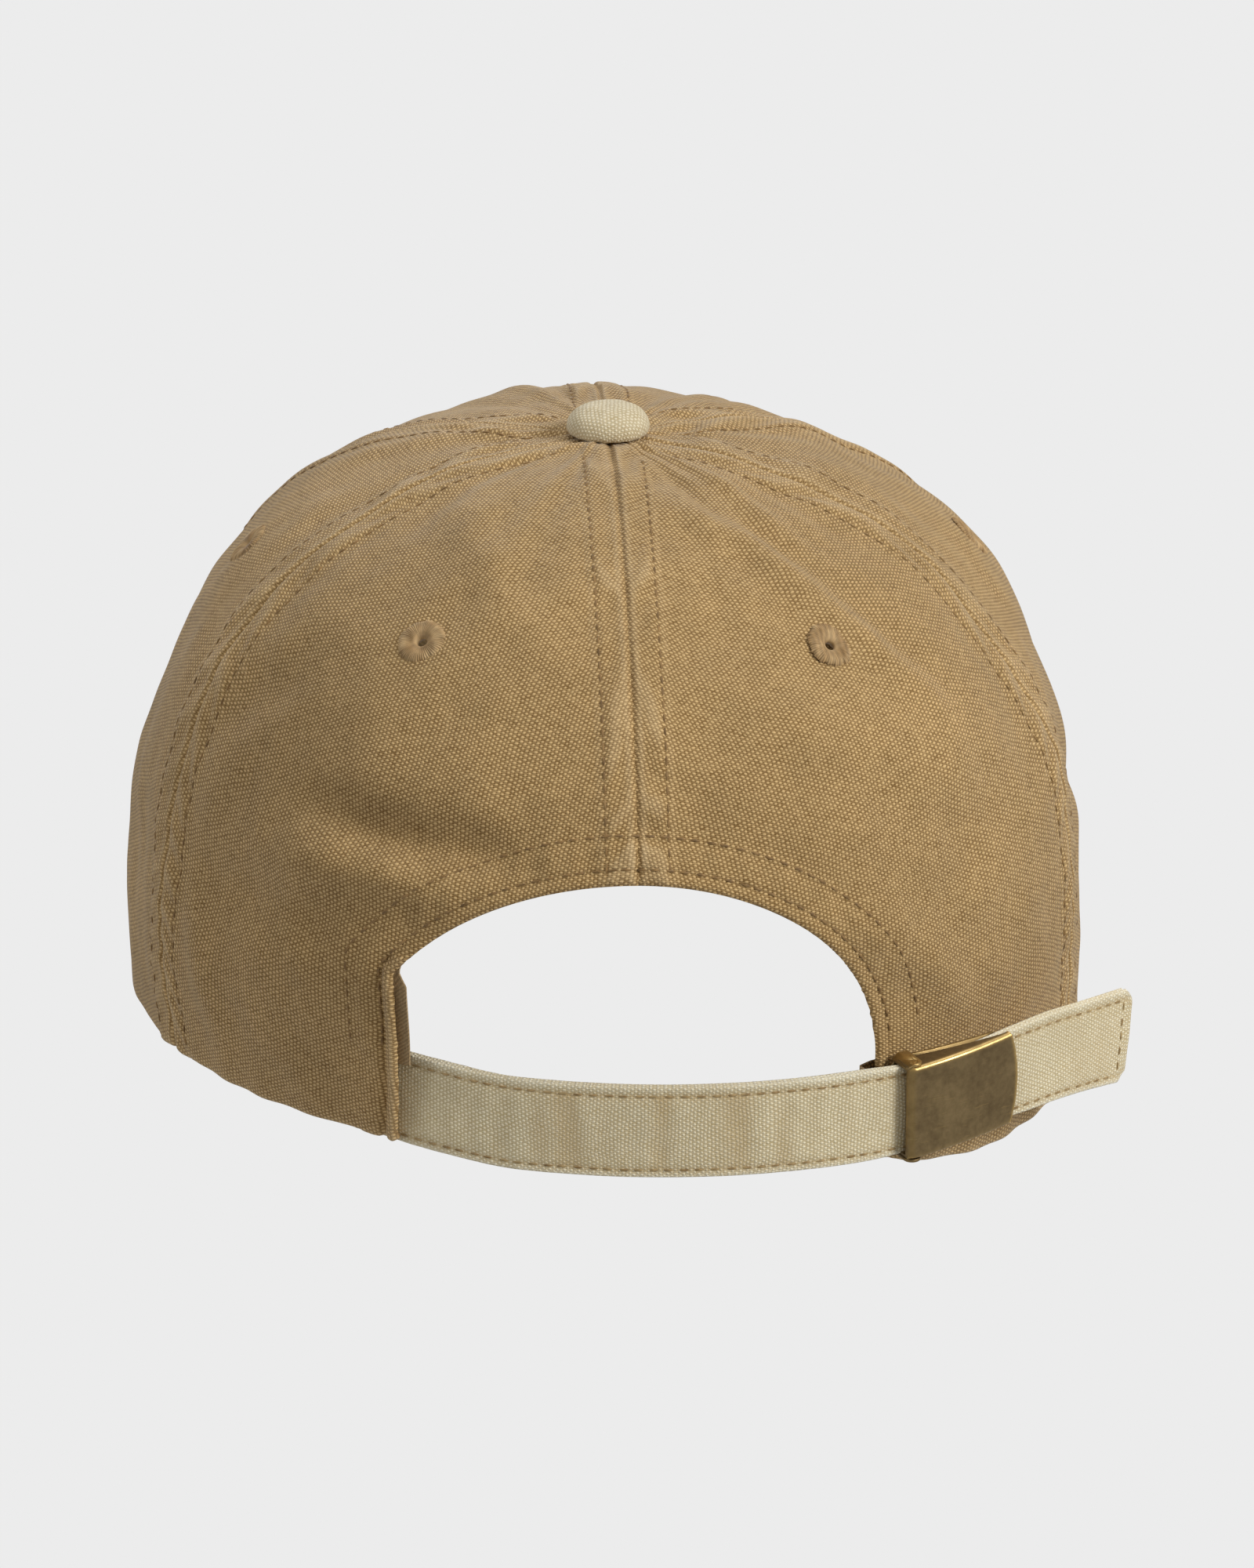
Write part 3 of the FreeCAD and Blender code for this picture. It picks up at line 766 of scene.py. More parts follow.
@dataclass(frozen=True)
class CrownForm:
    """The crown's outer face. Azimuth is in radians from the rear towards the left, height 0 at the hem to 1."""

    half_width: float = 85.0 * MM
    half_rear: float = 95.0 * MM
    half_front: float = 97.0 * MM
    top: float = 105.6 * MM
    apex_y: float = 5.5 * MM
    hem_tilt: float = 6.3 * MM
    hem_end_rise: float = 2.5 * MM
    front_rise: float = 6.5 * MM
    front_rise_spread: float = 30.0
    bulge: float = 6.6 * MM
    bulge_ends: float = 5.9 * MM
    bulge_rear: float = 2.6 * MM
    wall_share: float = 0.346
    shoulder_share: float = 0.932
    shoulder_side: float = 0.083
    tip: float = 0.99
    cloth: float = 1.0 * MM

    def hem_height(self, azimuth: Array) -> Array:
        """Height of the hem round the cap."""
        c, s = np.cos(azimuth), np.sin(azimuth)
        from_front = np.degrees(np.arccos(np.clip(-c, -1, 1)))
        rise = self.front_rise * bell(from_front, self.front_rise_spread)
        ends = self.hem_end_rise * np.cos(2 * azimuth) + 0.7 * MM * np.sin(2 * azimuth)
        degrees = np.degrees(np.arctan2(s, c))
        dip = 2.5 * MM * bell(degrees + 26, 7) - 1.4 * MM * bell(degrees + 46, 11)
        return 1.4 * MM * c + self.hem_tilt * s + ends + rise + dip

    def point(self, azimuth: Array, height: Array) -> Array:
        """Points of the outer face.

        Args:
            azimuth: radians from the rear.
            height: share of the way from the hem to the apex.

        Returns:
            One row per point.
        """
        c, s = np.cos(azimuth), np.sin(azimuth)
        c2, s2 = np.cos(2 * azimuth), np.sin(2 * azimuth)
        hem = np.stack([self.half_width * s, np.where(c > 0, self.half_rear, self.half_front) * c], 1)
        outward = unit_rows(hem)
        bulge = self.bulge + self.bulge_rear * c + self.bulge_ends * c2 + 1.5 * MM * s - MM * s2
        low = self.hem_height(azimuth)
        wall = hem + outward * bulge[:, None]
        wall_z = low + (self.wall_share - 0.01 * c - 0.02 * s) * (self.top - low)
        share = self.shoulder_share - 0.01 * c - self.shoulder_side * c2 - 0.04 * s
        t = np.asarray(height)
        weights = [(1 - t) ** 3, 3 * t * (1 - t) ** 2, 3 * t * t * (1 - t), t ** 3]
        x = hem[:, 0] * weights[0] + wall[:, 0] * weights[1] + share * wall[:, 0] * weights[2]
        y = (hem[:, 1] * weights[0] + wall[:, 1] * weights[1]
             + (self.apex_y + share * wall[:, 1]) * weights[2] + self.apex_y * weights[3])
        z = low * weights[0] + wall_z * weights[1] + self.top * (weights[2] + weights[3])
        return np.stack([x, y, z], 1)

    def normal(self, azimuth: Array, height: Array) -> Array:
        """Unit directions out of the outer face."""
        step = 0.002
        along = self.point(azimuth + step, height) - self.point(azimuth - step, height)
        rise = self.point(azimuth, np.minimum(1, height + step)) - self.point(azimuth, height - step)
        out = np.cross(rise, along)
        out = unit_rows(out)
        place = self.point(azimuth, height)
        reference = place - np.array([0, self.apex_y, 0])
        reference[:, 2] = 30 * MM
        sign = np.sign(np.sum(out * reference, axis=1))
        return out * sign[:, None]

    def locate(self, x: Array, z: Array) -> Pair:
        """Azimuth and height of the rear wall's point with this x and z.

        Args:
            x: sideways places.
            z: heights above the origin.

        Returns:
            Azimuths in radians and height shares.
        """
        azimuth = np.arcsin(np.clip(x / (self.half_width + self.bulge), -0.95, 0.95))
        height = np.clip(z / self.top * 0.8, 0.0, 0.9)
        step = 1e-4
        for _ in range(14):
            here = self.point(azimuth, height)[:, (0, 2)]
            by_azimuth = (self.point(azimuth + step, height)[:, (0, 2)] - here) / step
            by_height = (self.point(azimuth, height + step)[:, (0, 2)] - here) / step
            miss = np.stack([x, z], 1) - here
            det = by_azimuth[:, 0] * by_height[:, 1] - by_azimuth[:, 1] * by_height[:, 0]
            azimuth = azimuth + (miss[:, 0] * by_height[:, 1] - miss[:, 1] * by_height[:, 0]) / det
            height = height + (miss[:, 1] * by_azimuth[:, 0] - miss[:, 0] * by_azimuth[:, 1]) / det
        return azimuth, height

    def ring(self, azimuth: Array, height: Array) -> Array:
        """Distance from the apex axis."""
        place = self.point(azimuth, height)
        return np.hypot(place[:, 0], place[:, 1] - self.apex_y)


@dataclass(frozen=True)
class Opening:
    """Outline of the arched rear opening, seen from the rear: x sideways, z up."""

    middle: float = 1.0 * MM
    foot: float = 22.0 * MM
    rise: float = 34.8 * MM
    half_left: float = 45.0 * MM
    half_right: float = 42.5 * MM
    left_edge: float = 40.3 * MM
    right_split: float = -36.0 * MM

    def arch(self, x: Array) -> Array:
        """Height of the arch at a sideways place."""
        half = np.where(x > self.middle, self.half_left, self.half_right)
        return self.foot + self.rise * np.sqrt(np.clip(1 - ((x - self.middle) / half) ** 2, 0, 1))

    def crest(self, side: int, count: int) -> Array:
        """Arch from the centre seam to the corner or split of one side.

        Args:
            side: 1 for the left, -1 for the right.
            count: number of points.

        Returns:
            Rows of x and z.
        """
        end = self.left_edge if side > 0 else self.right_split
        half = self.half_left if side > 0 else self.half_right
        first, last = (math.asin((x - self.middle) / half) for x in (0.0, end))
        turn = first + (last - first) * crowd_ends(np.linspace(0, 1, count), 0.55)
        x = self.middle + half * np.sin(turn)
        x[0], x[-1] = 0.0, end
        return np.stack([x, self.arch(x)], 1)

    def leg(self, side: int, hem: float, count: int) -> Array:
        """Side of the opening from the hem up to the corner or split.

        Args:
            side: 1 for the left, -1 for the right.
            hem: height of the hem there.
            count: number of points.

        Returns:
            Rows of x and z.
        """
        if side > 0:
            line = np.array([[self.left_edge, hem], [self.left_edge, float(self.arch(np.array([self.left_edge]))[0])]])
        else:
            split = math.asin((self.right_split - self.middle) / self.half_right)
            turn = np.linspace(-math.pi / 2, split, 60)
            curve = np.stack([self.middle + self.half_right * np.sin(turn),
                              self.foot + self.rise * np.cos(turn)], 1)
            line = np.concatenate([[[self.middle - self.half_right, hem]], curve])
        travelled = along_line(line)
        wanted = travelled[-1] * crowd_ends(np.linspace(0, 1, count), 0.6)
        return np.stack([np.interp(wanted, travelled, line[:, axis]) for axis in range(2)], 1)


@dataclass(frozen=True)
class Fold:
    """A soft crease or ridge: points in degrees of azimuth and height share, its half width and its height."""

    points: tuple[tuple[float, float], ...]
    width: float
    height: float


CREASES = (
    Fold(((-16, 0.88), (-33, 0.80), (-37, 0.73), (-41, 0.65), (-46, 0.60)), 3.6 * MM, 1.5 * MM),
    Fold(((-28, 0.92), (-41, 0.77), (-45, 0.66), (-50, 0.58)), 3.4 * MM, -1.3 * MM),
    Fold(((42, 0.46), (28, 0.44), (14, 0.44)), 4.6 * MM, -3.2 * MM),
    Fold(((48, 0.385), (34, 0.39), (20, 0.40)), 4.6 * MM, 1.5 * MM),
    Fold(((64, 0.30), (46, 0.31), (28, 0.355)), 5.5 * MM, -1.5 * MM),
    Fold(((-26, 0.37), (-42, 0.22)), 5.0 * MM, 1.4 * MM),
    Fold(((61, 0.27), (55, 0.12)), 4.5 * MM, 1.3 * MM),
    Fold(((72, 0.40), (62, 0.52), (50, 0.61)), 6.0 * MM, -1.2 * MM),
    Fold(((10, 0.66), (30, 0.78), (50, 0.86)), 4.5 * MM, 0.9 * MM),
    Fold(((-12, 0.56), (-30, 0.50), (-52, 0.40)), 6.0 * MM, -1.0 * MM),
    Fold(((140, 0.28), (165, 0.33), (190, 0.29)), 7.0 * MM, -1.3 * MM),
    Fold(((205, 0.52), (222, 0.46), (236, 0.50)), 6.0 * MM, -1.2 * MM),
    Fold(((95, 0.20), (108, 0.30), (116, 0.42)), 6.0 * MM, 1.3 * MM),
    Fold(((258, 0.24), (272, 0.32), (282, 0.44)), 6.0 * MM, -1.2 * MM),
)


@dataclass
class SewnCrown:
    """The crown as it is after sewing and washing: the form with its seams, rows, puckers and folds."""

    form: CrownForm = field(default_factory=CrownForm)
    opening: Opening = field(default_factory=Opening)
    seams: tuple[Seam, ...] = (
        Seam("rear", 0.0), Seam("rear_left", 65.7, 9.2), Seam("front_left", 119.5),
        Seam("front", 180.0), Seam("front_right", 240.5), Seam("rear_right", 293.2, -2.8), Seam("rear_again", 360.0),
    )
    row_offset: float = 5.7 * MM
    allowance: float = 6.1 * MM
    allowance_rise: float = 0.45 * MM
    row_sink: float = 0.28 * MM
    seam_sink: float = 0.55 * MM
    pucker: float = 0.33 * MM
    pucker_pitch: float = 6.5 * MM
    edge_roll: float = 0.9 * MM
    arch_rows: tuple[float, float] = (2.5 * MM, 7.6 * MM)
    bead: float = 0.55 * MM

    def __post_init__(self) -> None:
        """Samples the folds and the opening's edge."""
        self.washes = ((SoftNoise(11, 42 * MM), 0.55 * MM), (SoftNoise(12, 17 * MM), 0.2 * MM),
                       (SoftNoise(13, 7 * MM), 0.07 * MM))
        self.pleats = SoftNoise(14, 0.55)
        self.drift = SoftNoise(15, 25 * MM)
        self.fold_lines = [(fold, self.fold_line(fold)) for fold in CREASES]
        self.edge_line = self.opening_edge()

    def fold_line(self, fold: Fold) -> Array:
        """Samples a fold's line on the form."""
        ends = np.array(fold.points)
        dense = resample(np.stack([ends[:, 0] / 90, ends[:, 1]], 1), 0.004)
        return self.form.point(np.radians(dense[:, 0] * 90), dense[:, 1])

    def leg_foot(self, side: int) -> float:
        """Height of the hem at the opening's left or right leg."""
        x = self.opening.left_edge if side > 0 else self.opening.middle - self.opening.half_right
        return float(self.form.hem_height(np.array([math.asin(x / self.form.half_width)]))[0])

    def opening_flat(self, side: int) -> Array:
        """One half of the opening's outline from the hem to the centre seam, as x and z."""
        leg = self.opening.leg(side, self.leg_foot(side), 160)
        crest = self.opening.crest(side, 200)
        return np.concatenate([leg, crest[::-1][1:]])

    def opening_edge(self) -> Array:
        """The opening's whole edge on the form, densely sampled."""
        whole = np.concatenate([self.opening_flat(1), self.opening_flat(-1)[::-1][1:]])
        dense = resample(whole, 0.25 * MM)
        return self.form.point(*self.form.locate(dense[:, 0], dense[:, 1]))

    def broad(self, azimuth: Array, height: Array, place: Array) -> Array:
        """Folds, washing waves, pleats under the button and the scalloped hem.

        Args:
            azimuth: radians from the rear.
            height: height shares.
            place: the same points of the form.

        Returns:
            How far the cloth stands out of the form.
        """
        calm_hem = smooth_step(0.0, 0.16, height)
        out = sum(size * noise.at(place) for noise, size in self.washes) * (0.35 + 0.65 * calm_hem)
        for fold, line in self.fold_lines:
            distance, share = distance_to(place, line)
            out = out + fold.height * bell(distance, fold.width) * np.sin(math.pi * (0.08 + 0.84 * share)) ** 0.7
        wheel = np.stack([np.cos(azimuth) * 9, np.sin(azimuth) * 9, height * 0.2], 1) * 0.35
        top = smooth_step(0.55, 0.85, height) * (1 - 0.6 * smooth_step(0.9, 1.0, height))
        out = out + 0.24 * MM * self.pleats.at(wheel) * top
        scallop = np.sin(azimuth * 41 + 2.1 * np.sin(azimuth * 7))
        return out + 0.2 * MM * scallop * (1 - smooth_step(0.02, 0.14, height))

    def seam_distance(self, azimuth: Array, height: Array) -> Array:
        """Distance from the nearest seam, along the surface."""
        ring = self.form.ring(azimuth, height)
        gaps = [np.abs(azimuth - seam.azimuth(height)) for seam in self.seams]
        wrapped = [np.minimum(gap, np.abs(gap - 2 * math.pi)) for gap in gaps]
        return np.min(wrapped, axis=0) * ring

    def fine(self, azimuth: Array, height: Array, place: Array, edge: Array) -> Array:
        """Seam allowances, stitched rows, puckers and rolled edges.

        Args:
            azimuth: radians from the rear.
            height: height shares.
            place: the same points of the form.
            edge: distance from the rear opening's edge.

        Returns:
            How far the cloth stands out of its broad shape.
        """
        seam = self.seam_distance(azimuth, height)
        flat = 1 - smooth_step(self.row_offset - 0.2 * MM, self.allowance + 1.2 * MM, seam)
        out = self.allowance_rise * flat
        out = out - self.row_sink * bell(seam - self.row_offset, 0.55 * MM)
        out = out - self.seam_sink * bell(seam, 0.6 * MM)
        climb = place[:, 2] + 0.6 * np.hypot(place[:, 0], place[:, 1])
        beat = np.sin(2 * math.pi * climb / self.pucker_pitch + 1.3 * self.drift.at(place) + seam / (1.6 * MM))
        out = out + self.pucker * beat * bell(seam - 3.4 * MM, 2.6 * MM)
        welt = 1 - smooth_step(self.arch_rows[1] - 0.2 * MM, self.arch_rows[1] + 1.6 * MM, edge)
        out = out + 0.3 * MM * welt
        for row in self.arch_rows:
            out = out - 0.22 * MM * bell(edge - row, 0.55 * MM)
        ripple = np.sin(2 * math.pi * place[:, 0] / (5.2 * MM) + 1.5 * self.drift.at(place))
        out = out + 0.12 * MM * ripple * bell(edge - 5 * MM, 3 * MM)
        leg = (place[:, 1] > 0) * (place[:, 0] > 30 * MM) * (place[:, 2] < 42 * MM)
        out = out + leg * self.bead * (bell(edge - 0.8 * MM, 1.0 * MM) - 0.9 * bell(edge - 2.6 * MM, 0.6 * MM))
        hem = height * 128 * MM
        return out - rolled_in(edge, self.edge_roll) - rolled_in(hem, self.edge_roll)

    def surface(self, azimuth: Array, height: Array, lift: float = 0.0,
                sewn: bool = True) -> tuple[Array, Array, Array]:
        """The sewn crown's surface.

        Args:
            azimuth: radians from the rear.
            height: height shares.
            lift: how far above the surface.
            sewn: False leaves out the fine relief, as for what lies inside.

        Returns:
            The points, the outward directions and the fine relief.
        """
        place = self.form.point(azimuth, height)
        out = self.form.normal(azimuth, height)
        stand = self.broad(azimuth, height, place) + lift
        relief = np.zeros(len(place))
        if sewn:
            edge = np.full(len(place), 1.0)
            near = (place[:, 1] > 40 * MM) & (np.abs(place[:, 0]) < 60 * MM) & (place[:, 2] < 75 * MM)
            if near.any():
                edge[near] = distance_to(place[near], self.edge_line)[0]
            relief = self.fine(azimuth, height, place, edge)
        return place + out * (stand + relief)[:, None], out, relief


# ---- stitching ----------------------------------------------------------------------------------


@dataclass
class StitchMaker:
    """Rows of thread stitches, copied from one modelled stitch."""

    length: float = 1.75 * MM
    pitch: float = 2.6 * MM
    radius: float = 0.19 * MM

    def __post_init__(self) -> None:
        """Models one stitch: a thread that bows up between two holes."""
        deselect_all()
        bpy.ops.mesh.primitive_cylinder_add(vertices=6, radius=1.0, depth=2.0, end_fill_type="TRIFAN")
        pattern = bpy.context.object
        edit(pattern, cut_at(0.45), cut_at(-0.45))
        self.shape = vertex_array(pattern)
        self.faces = [list(face.vertices) for face in pattern.data.polygons]
        bpy.data.objects.remove(pattern)

    def stitch(self, middle: Array, along: Array, out: Array) -> Array:
        """Vertices of one stitch.

        Args:
            middle: its place on the cloth.
            along: unit direction of the row.
            out: unit direction out of the cloth.

        Returns:
            One row per vertex.
        """
        side = np.cross(along, out)
        run = self.shape[:, 2]
        thin = 1 - 0.45 * np.abs(run) ** 3
        sideways = self.shape[:, 0] * self.radius * thin * 1.15
        upward = self.shape[:, 1] * self.radius * thin + 0.35 * self.radius * (1 - 3.2 * run ** 2)
        forward = run * self.length / 2
        return middle + np.outer(sideways, side) + np.outer(upward, out) + np.outer(forward, along)

    def sew(self, name: str, rows: Sequence[Pair], body: str,
            finish: Finish = TAN_THREAD) -> Piece:
        """Sews rows of stitches as one piece.

        Args:
            name: the piece's name.
            rows: each row's points on the cloth, with the directions out of it.
            body: the CAD body they move with.
            finish: the thread.

        Returns:
            The new object.
        """
        draw = np.random.default_rng(len(name) * 7 + 5)
        places, faces = [], []
        for points, outs in rows:
            travelled = along_line(points)
            count = int(travelled[-1] / self.pitch)
            for number in range(count):
                spot = (number + 0.5) * self.pitch + draw.uniform(-0.09, 0.09) * self.pitch
                ends = [np.array([np.interp(spot + step, travelled, points[:, k]) for k in range(3)])
                        for step in (-0.4 * self.length, 0.4 * self.length)]
                out = np.array([np.interp(spot, travelled, outs[:, k]) for k in range(3)])
                along = (ends[1] - ends[0]) / max(1e-9, np.linalg.norm(ends[1] - ends[0]))
                out = out - along * (out @ along)
                out /= np.linalg.norm(out)
                base = len(places) * len(self.shape)
                places.append(self.stitch((ends[0] + ends[1]) / 2, along, out))
                faces.extend([[corner + base for corner in face] for face in self.faces])
        mesh = bpy.data.meshes.new(name)
        mesh.from_pydata(np.concatenate(places).tolist(), [], faces)
        mesh.update()
        piece = bpy.data.objects.new(name, mesh)
        bpy.context.scene.collection.objects.link(piece)
        edit(piece, FACE_OUT)
        smooth(piece, 60)
        finish_piece(piece, body, finish)
        return piece


# ---- crown --------------------------------------------------------------------------------------


@dataclass
class CrownPanels:
    """The six cloth panels, the rear pair cut to the arched opening."""

    crown: SewnCrown
    columns: int = 132
    rows: int = 170
    arch_columns: int = 92
    side_columns: int = 84
    low_rows: int = 62
    high_rows: int = 150
    vent_radius: float = 1.9 * MM

    def build(self) -> None:
        """Builds all six panels."""
        for name, seam_a, seam_b in self.spans():
            if name.startswith("rear"):
                piece = self.rear_panel(name, seam_a, seam_b)
            else:
                piece = self.plain_panel(name, seam_a, seam_b)
            self.dress(piece, name)

    def spans(self) -> list[tuple[str, Seam, Seam]]:
        """Each panel's name with the seams on its two sides."""
        names = ("rear_left", "side_left", "front_left", "front_right", "side_right", "rear_right")
        return [(name, self.crown.seams[k], self.crown.seams[k + 1]) for k, name in enumerate(names)]

    def flat_map(self, azimuth: Array, height: Array, middle: float) -> Array:
        """Cloth coordinates in metres, straight down the panel's middle.

        Args:
            azimuth: radians from the rear.
            height: height shares.
            middle: azimuth of the panel's middle.

        Returns:
            Two numbers per point.
        """
        ladder = np.linspace(0, 1, 200)
        spine = along_line(self.crown.form.point(np.full(200, middle), ladder))
        up = np.interp(height, ladder, spine)
        across = (azimuth - middle) * self.crown.form.ring(azimuth, height)
        return np.stack([across, up], 1)

    def plain_panel(self, name: str, seam_a: Seam, seam_b: Seam) -> Piece:
        """A panel from seam to seam and from the hem to the tip.

        Args:
            name: the panel's name.
            seam_a: the seam at its smaller azimuth.
            seam_b: the seam at its larger azimuth.

        Returns:
            The panel's outer sheet.
        """
        def spot(across: Array, upward: Array) -> Pair:
            height = self.crown.form.tip * (0.35 * upward + 0.65 * crowd_ends(upward, 0.75))
            start, end = seam_a.azimuth(height), seam_b.azimuth(height)
            return start + crowd_ends(across) * (end - start), height

        def place(across: Array, upward: Array) -> Array:
            return self.crown.surface(*spot(across, upward))[0]

        def flat(across: Array, upward: Array) -> Array:
            middle = math.radians((seam_a.start + seam_b.start) / 2)
            return self.flat_map(*spot(across, upward), middle)

        return grid_piece("cloth_panel_" + name, self.columns, self.rows, place, flat,
                          worn=lambda across, upward: self.wear(*spot(across, upward)))

    def shares(self, piece: Piece, columns: int, rows: int) -> Pair:
        """Column and row shares of a fresh grid's vertices, in their stored order."""
        number = np.arange(len(piece.data.vertices))
        return (number % (columns + 1)) / columns, (number // (columns + 1)) / rows

    def wear(self, azimuth: Array, height: Array) -> Array:
        """How worn the cloth is: most on the lips of seams, stitched rows and edges."""
        relief = self.crown.surface(azimuth, height)[2]
        seam = self.crown.seam_distance(azimuth, height)
        lip = 0.34 * bell(seam - 1.2 * MM, 0.6 * MM) + 0.12 * bell(seam - 6.6 * MM, 0.6 * MM)
        crest = smooth_step(0.5 * MM, 0.8 * MM, relief) * 0.35
        hem = 0.35 * bell(height * 128 * MM - 0.6 * MM, 0.9 * MM)
        return np.clip(lip + crest + hem, 0, 0.85)

    def rear_panel(self, name: str, seam_a: Seam, seam_b: Seam) -> Piece:
        """A rear panel: above the arch it reaches the centre seam, below it ends at the opening's leg.

        Args:
            name: the panel's name.
            seam_a: the seam at its smaller azimuth.
            seam_b: the seam at its larger azimuth.

        Returns:
            The panel's outer sheet.
        """
        side = 1 if name == "rear_left" else -1
        outer = seam_b if side > 0 else Seam("outer", seam_a.start - 360, seam_a.drift)
        columns, rows = self.arch_columns + self.side_columns, self.low_rows + self.high_rows
        azimuths, heights = self.rear_nodes(side, outer)

        def index(across: Array, upward: Array) -> Pair:
            return np.rint(across * columns).astype(int), np.rint(upward * rows).astype(int)

        def place(across: Array, upward: Array) -> Array:
            i, j = index(across, upward)
            return self.crown.surface(azimuths[i, j], heights[i, j])[0]

        def flat(across: Array, upward: Array) -> Array:
            i, j = index(across, upward)
            middle = math.radians(outer.start) / 2
            return self.flat_map(azimuths[i, j], heights[i, j], middle)

        piece = grid_piece("cloth_panel_" + name, columns, rows, place, flat)
        i, j = index(*self.shares(piece, columns, rows))
        paint_attribute(piece, "worn", self.wear(azimuths[i, j], heights[i, j]))
        face = np.arange(len(piece.data.polygons))
        delete_faces(piece, (face % columns < self.arch_columns) & (face // columns < self.low_rows))
        return piece

    def rear_nodes(self, side: int, outer: Seam) -> Pair:
        """Azimuth and height of every grid node of a rear panel.

        Args:
            side: 1 for the left, -1 for the right.
            outer: the seam to the side panel.

        Returns:
            Two arrays, columns by rows; the block inside the opening is a copy of the arch's edge.
        """
        form, opening = self.crown.form, self.crown.opening
        inner_count, low = self.arch_columns, self.low_rows
        crest = form.locate(*opening.crest(side, inner_count + 1).T)
        leg = form.locate(*opening.leg(side, self.crown.leg_foot(side), low + 1).T)
        leg[1][0] = 0.0
        corner = (crest[0][-1], crest[1][-1])
        fan = crowd_ends(np.linspace(0, 1, self.side_columns + 1), 0.65)
        shelf_a = corner[0] + fan * (float(outer.azimuth(corner[1])) - corner[0])
        base_a = np.concatenate([crest[0], shelf_a[1:]])
        base_h = np.concatenate([crest[1], np.full(self.side_columns, corner[1])])
        share = np.clip(base_a / outer.azimuth(base_h), 0, 1)
        climb = np.linspace(0, 1, self.high_rows + 1)
        climb = 0.25 * climb + 0.75 * climb ** 1.5
        azimuths = np.zeros((len(base_a), low + self.high_rows + 1))
        heights = np.zeros_like(azimuths)
        top_a = share * outer.azimuth(np.full_like(share, form.tip))
        for k, t in enumerate(climb):
            azimuths[:, low + k] = base_a + (top_a - base_a) * t
            heights[:, low + k] = base_h + (form.tip - base_h) * t
        azimuths[:inner_count, :low] = base_a[:inner_count, None]
        heights[:inner_count, :low] = base_h[:inner_count, None]
        hem_a = leg[0][0] + fan * (float(outer.azimuth(0.0)) - leg[0][0])
        for k in range(low + 1):
            t = leg[1][k] / corner[1]
            straight = leg[0][0] + (corner[0] - leg[0][0]) * t
            azimuths[inner_count:, k] = hem_a + (shelf_a - hem_a) * t + (1 - fan) * (leg[0][k] - straight)
            heights[inner_count:, k] = leg[1][k]
        azimuths[-1, :] = outer.azimuth(heights[-1, :])
        return azimuths, heights

    def dress(self, piece: Piece, name: str) -> None:
        """Opens the vent, thickens the sheet and finishes it.

        Args:
            piece: the outer sheet.
            name: the panel's name.
        """
        centre, _ = eyelet_frame(self.crown, name)
        reach = np.linalg.norm(read_rows(piece.data.polygons, "center") - centre, axis=1)
        delete_faces(piece, reach < self.vent_radius)
        face_away_from(piece, np.array([0.0, self.crown.form.apex_y, 20 * MM]))
        thicken(piece, self.crown.form.cloth)
        smooth(piece, 65)
        finish_piece(piece, CROWN_BODY, TAN_CANVAS, "panel_" + name)


EYELETS = {
    "rear_left": (35.0, 0.672), "side_left": (93.0, 0.645), "front_left": (150.0, 0.66),
    "front_right": (210.0, 0.66), "side_right": (267.0, 0.645), "rear_right": (326.2, 0.672),
}


def eyelet_frame(crown: SewnCrown, name: str) -> Pair:
    """Place of an eyelet on the sewn crown, and the direction out of the cloth."""
    degrees, height = EYELETS[name]
    azimuth = math.radians(degrees - 360 if name == "rear_right" else degrees)
    points, outs, _ = crown.surface(np.array([azimuth]), np.array([height]))
    return points[0], outs[0]


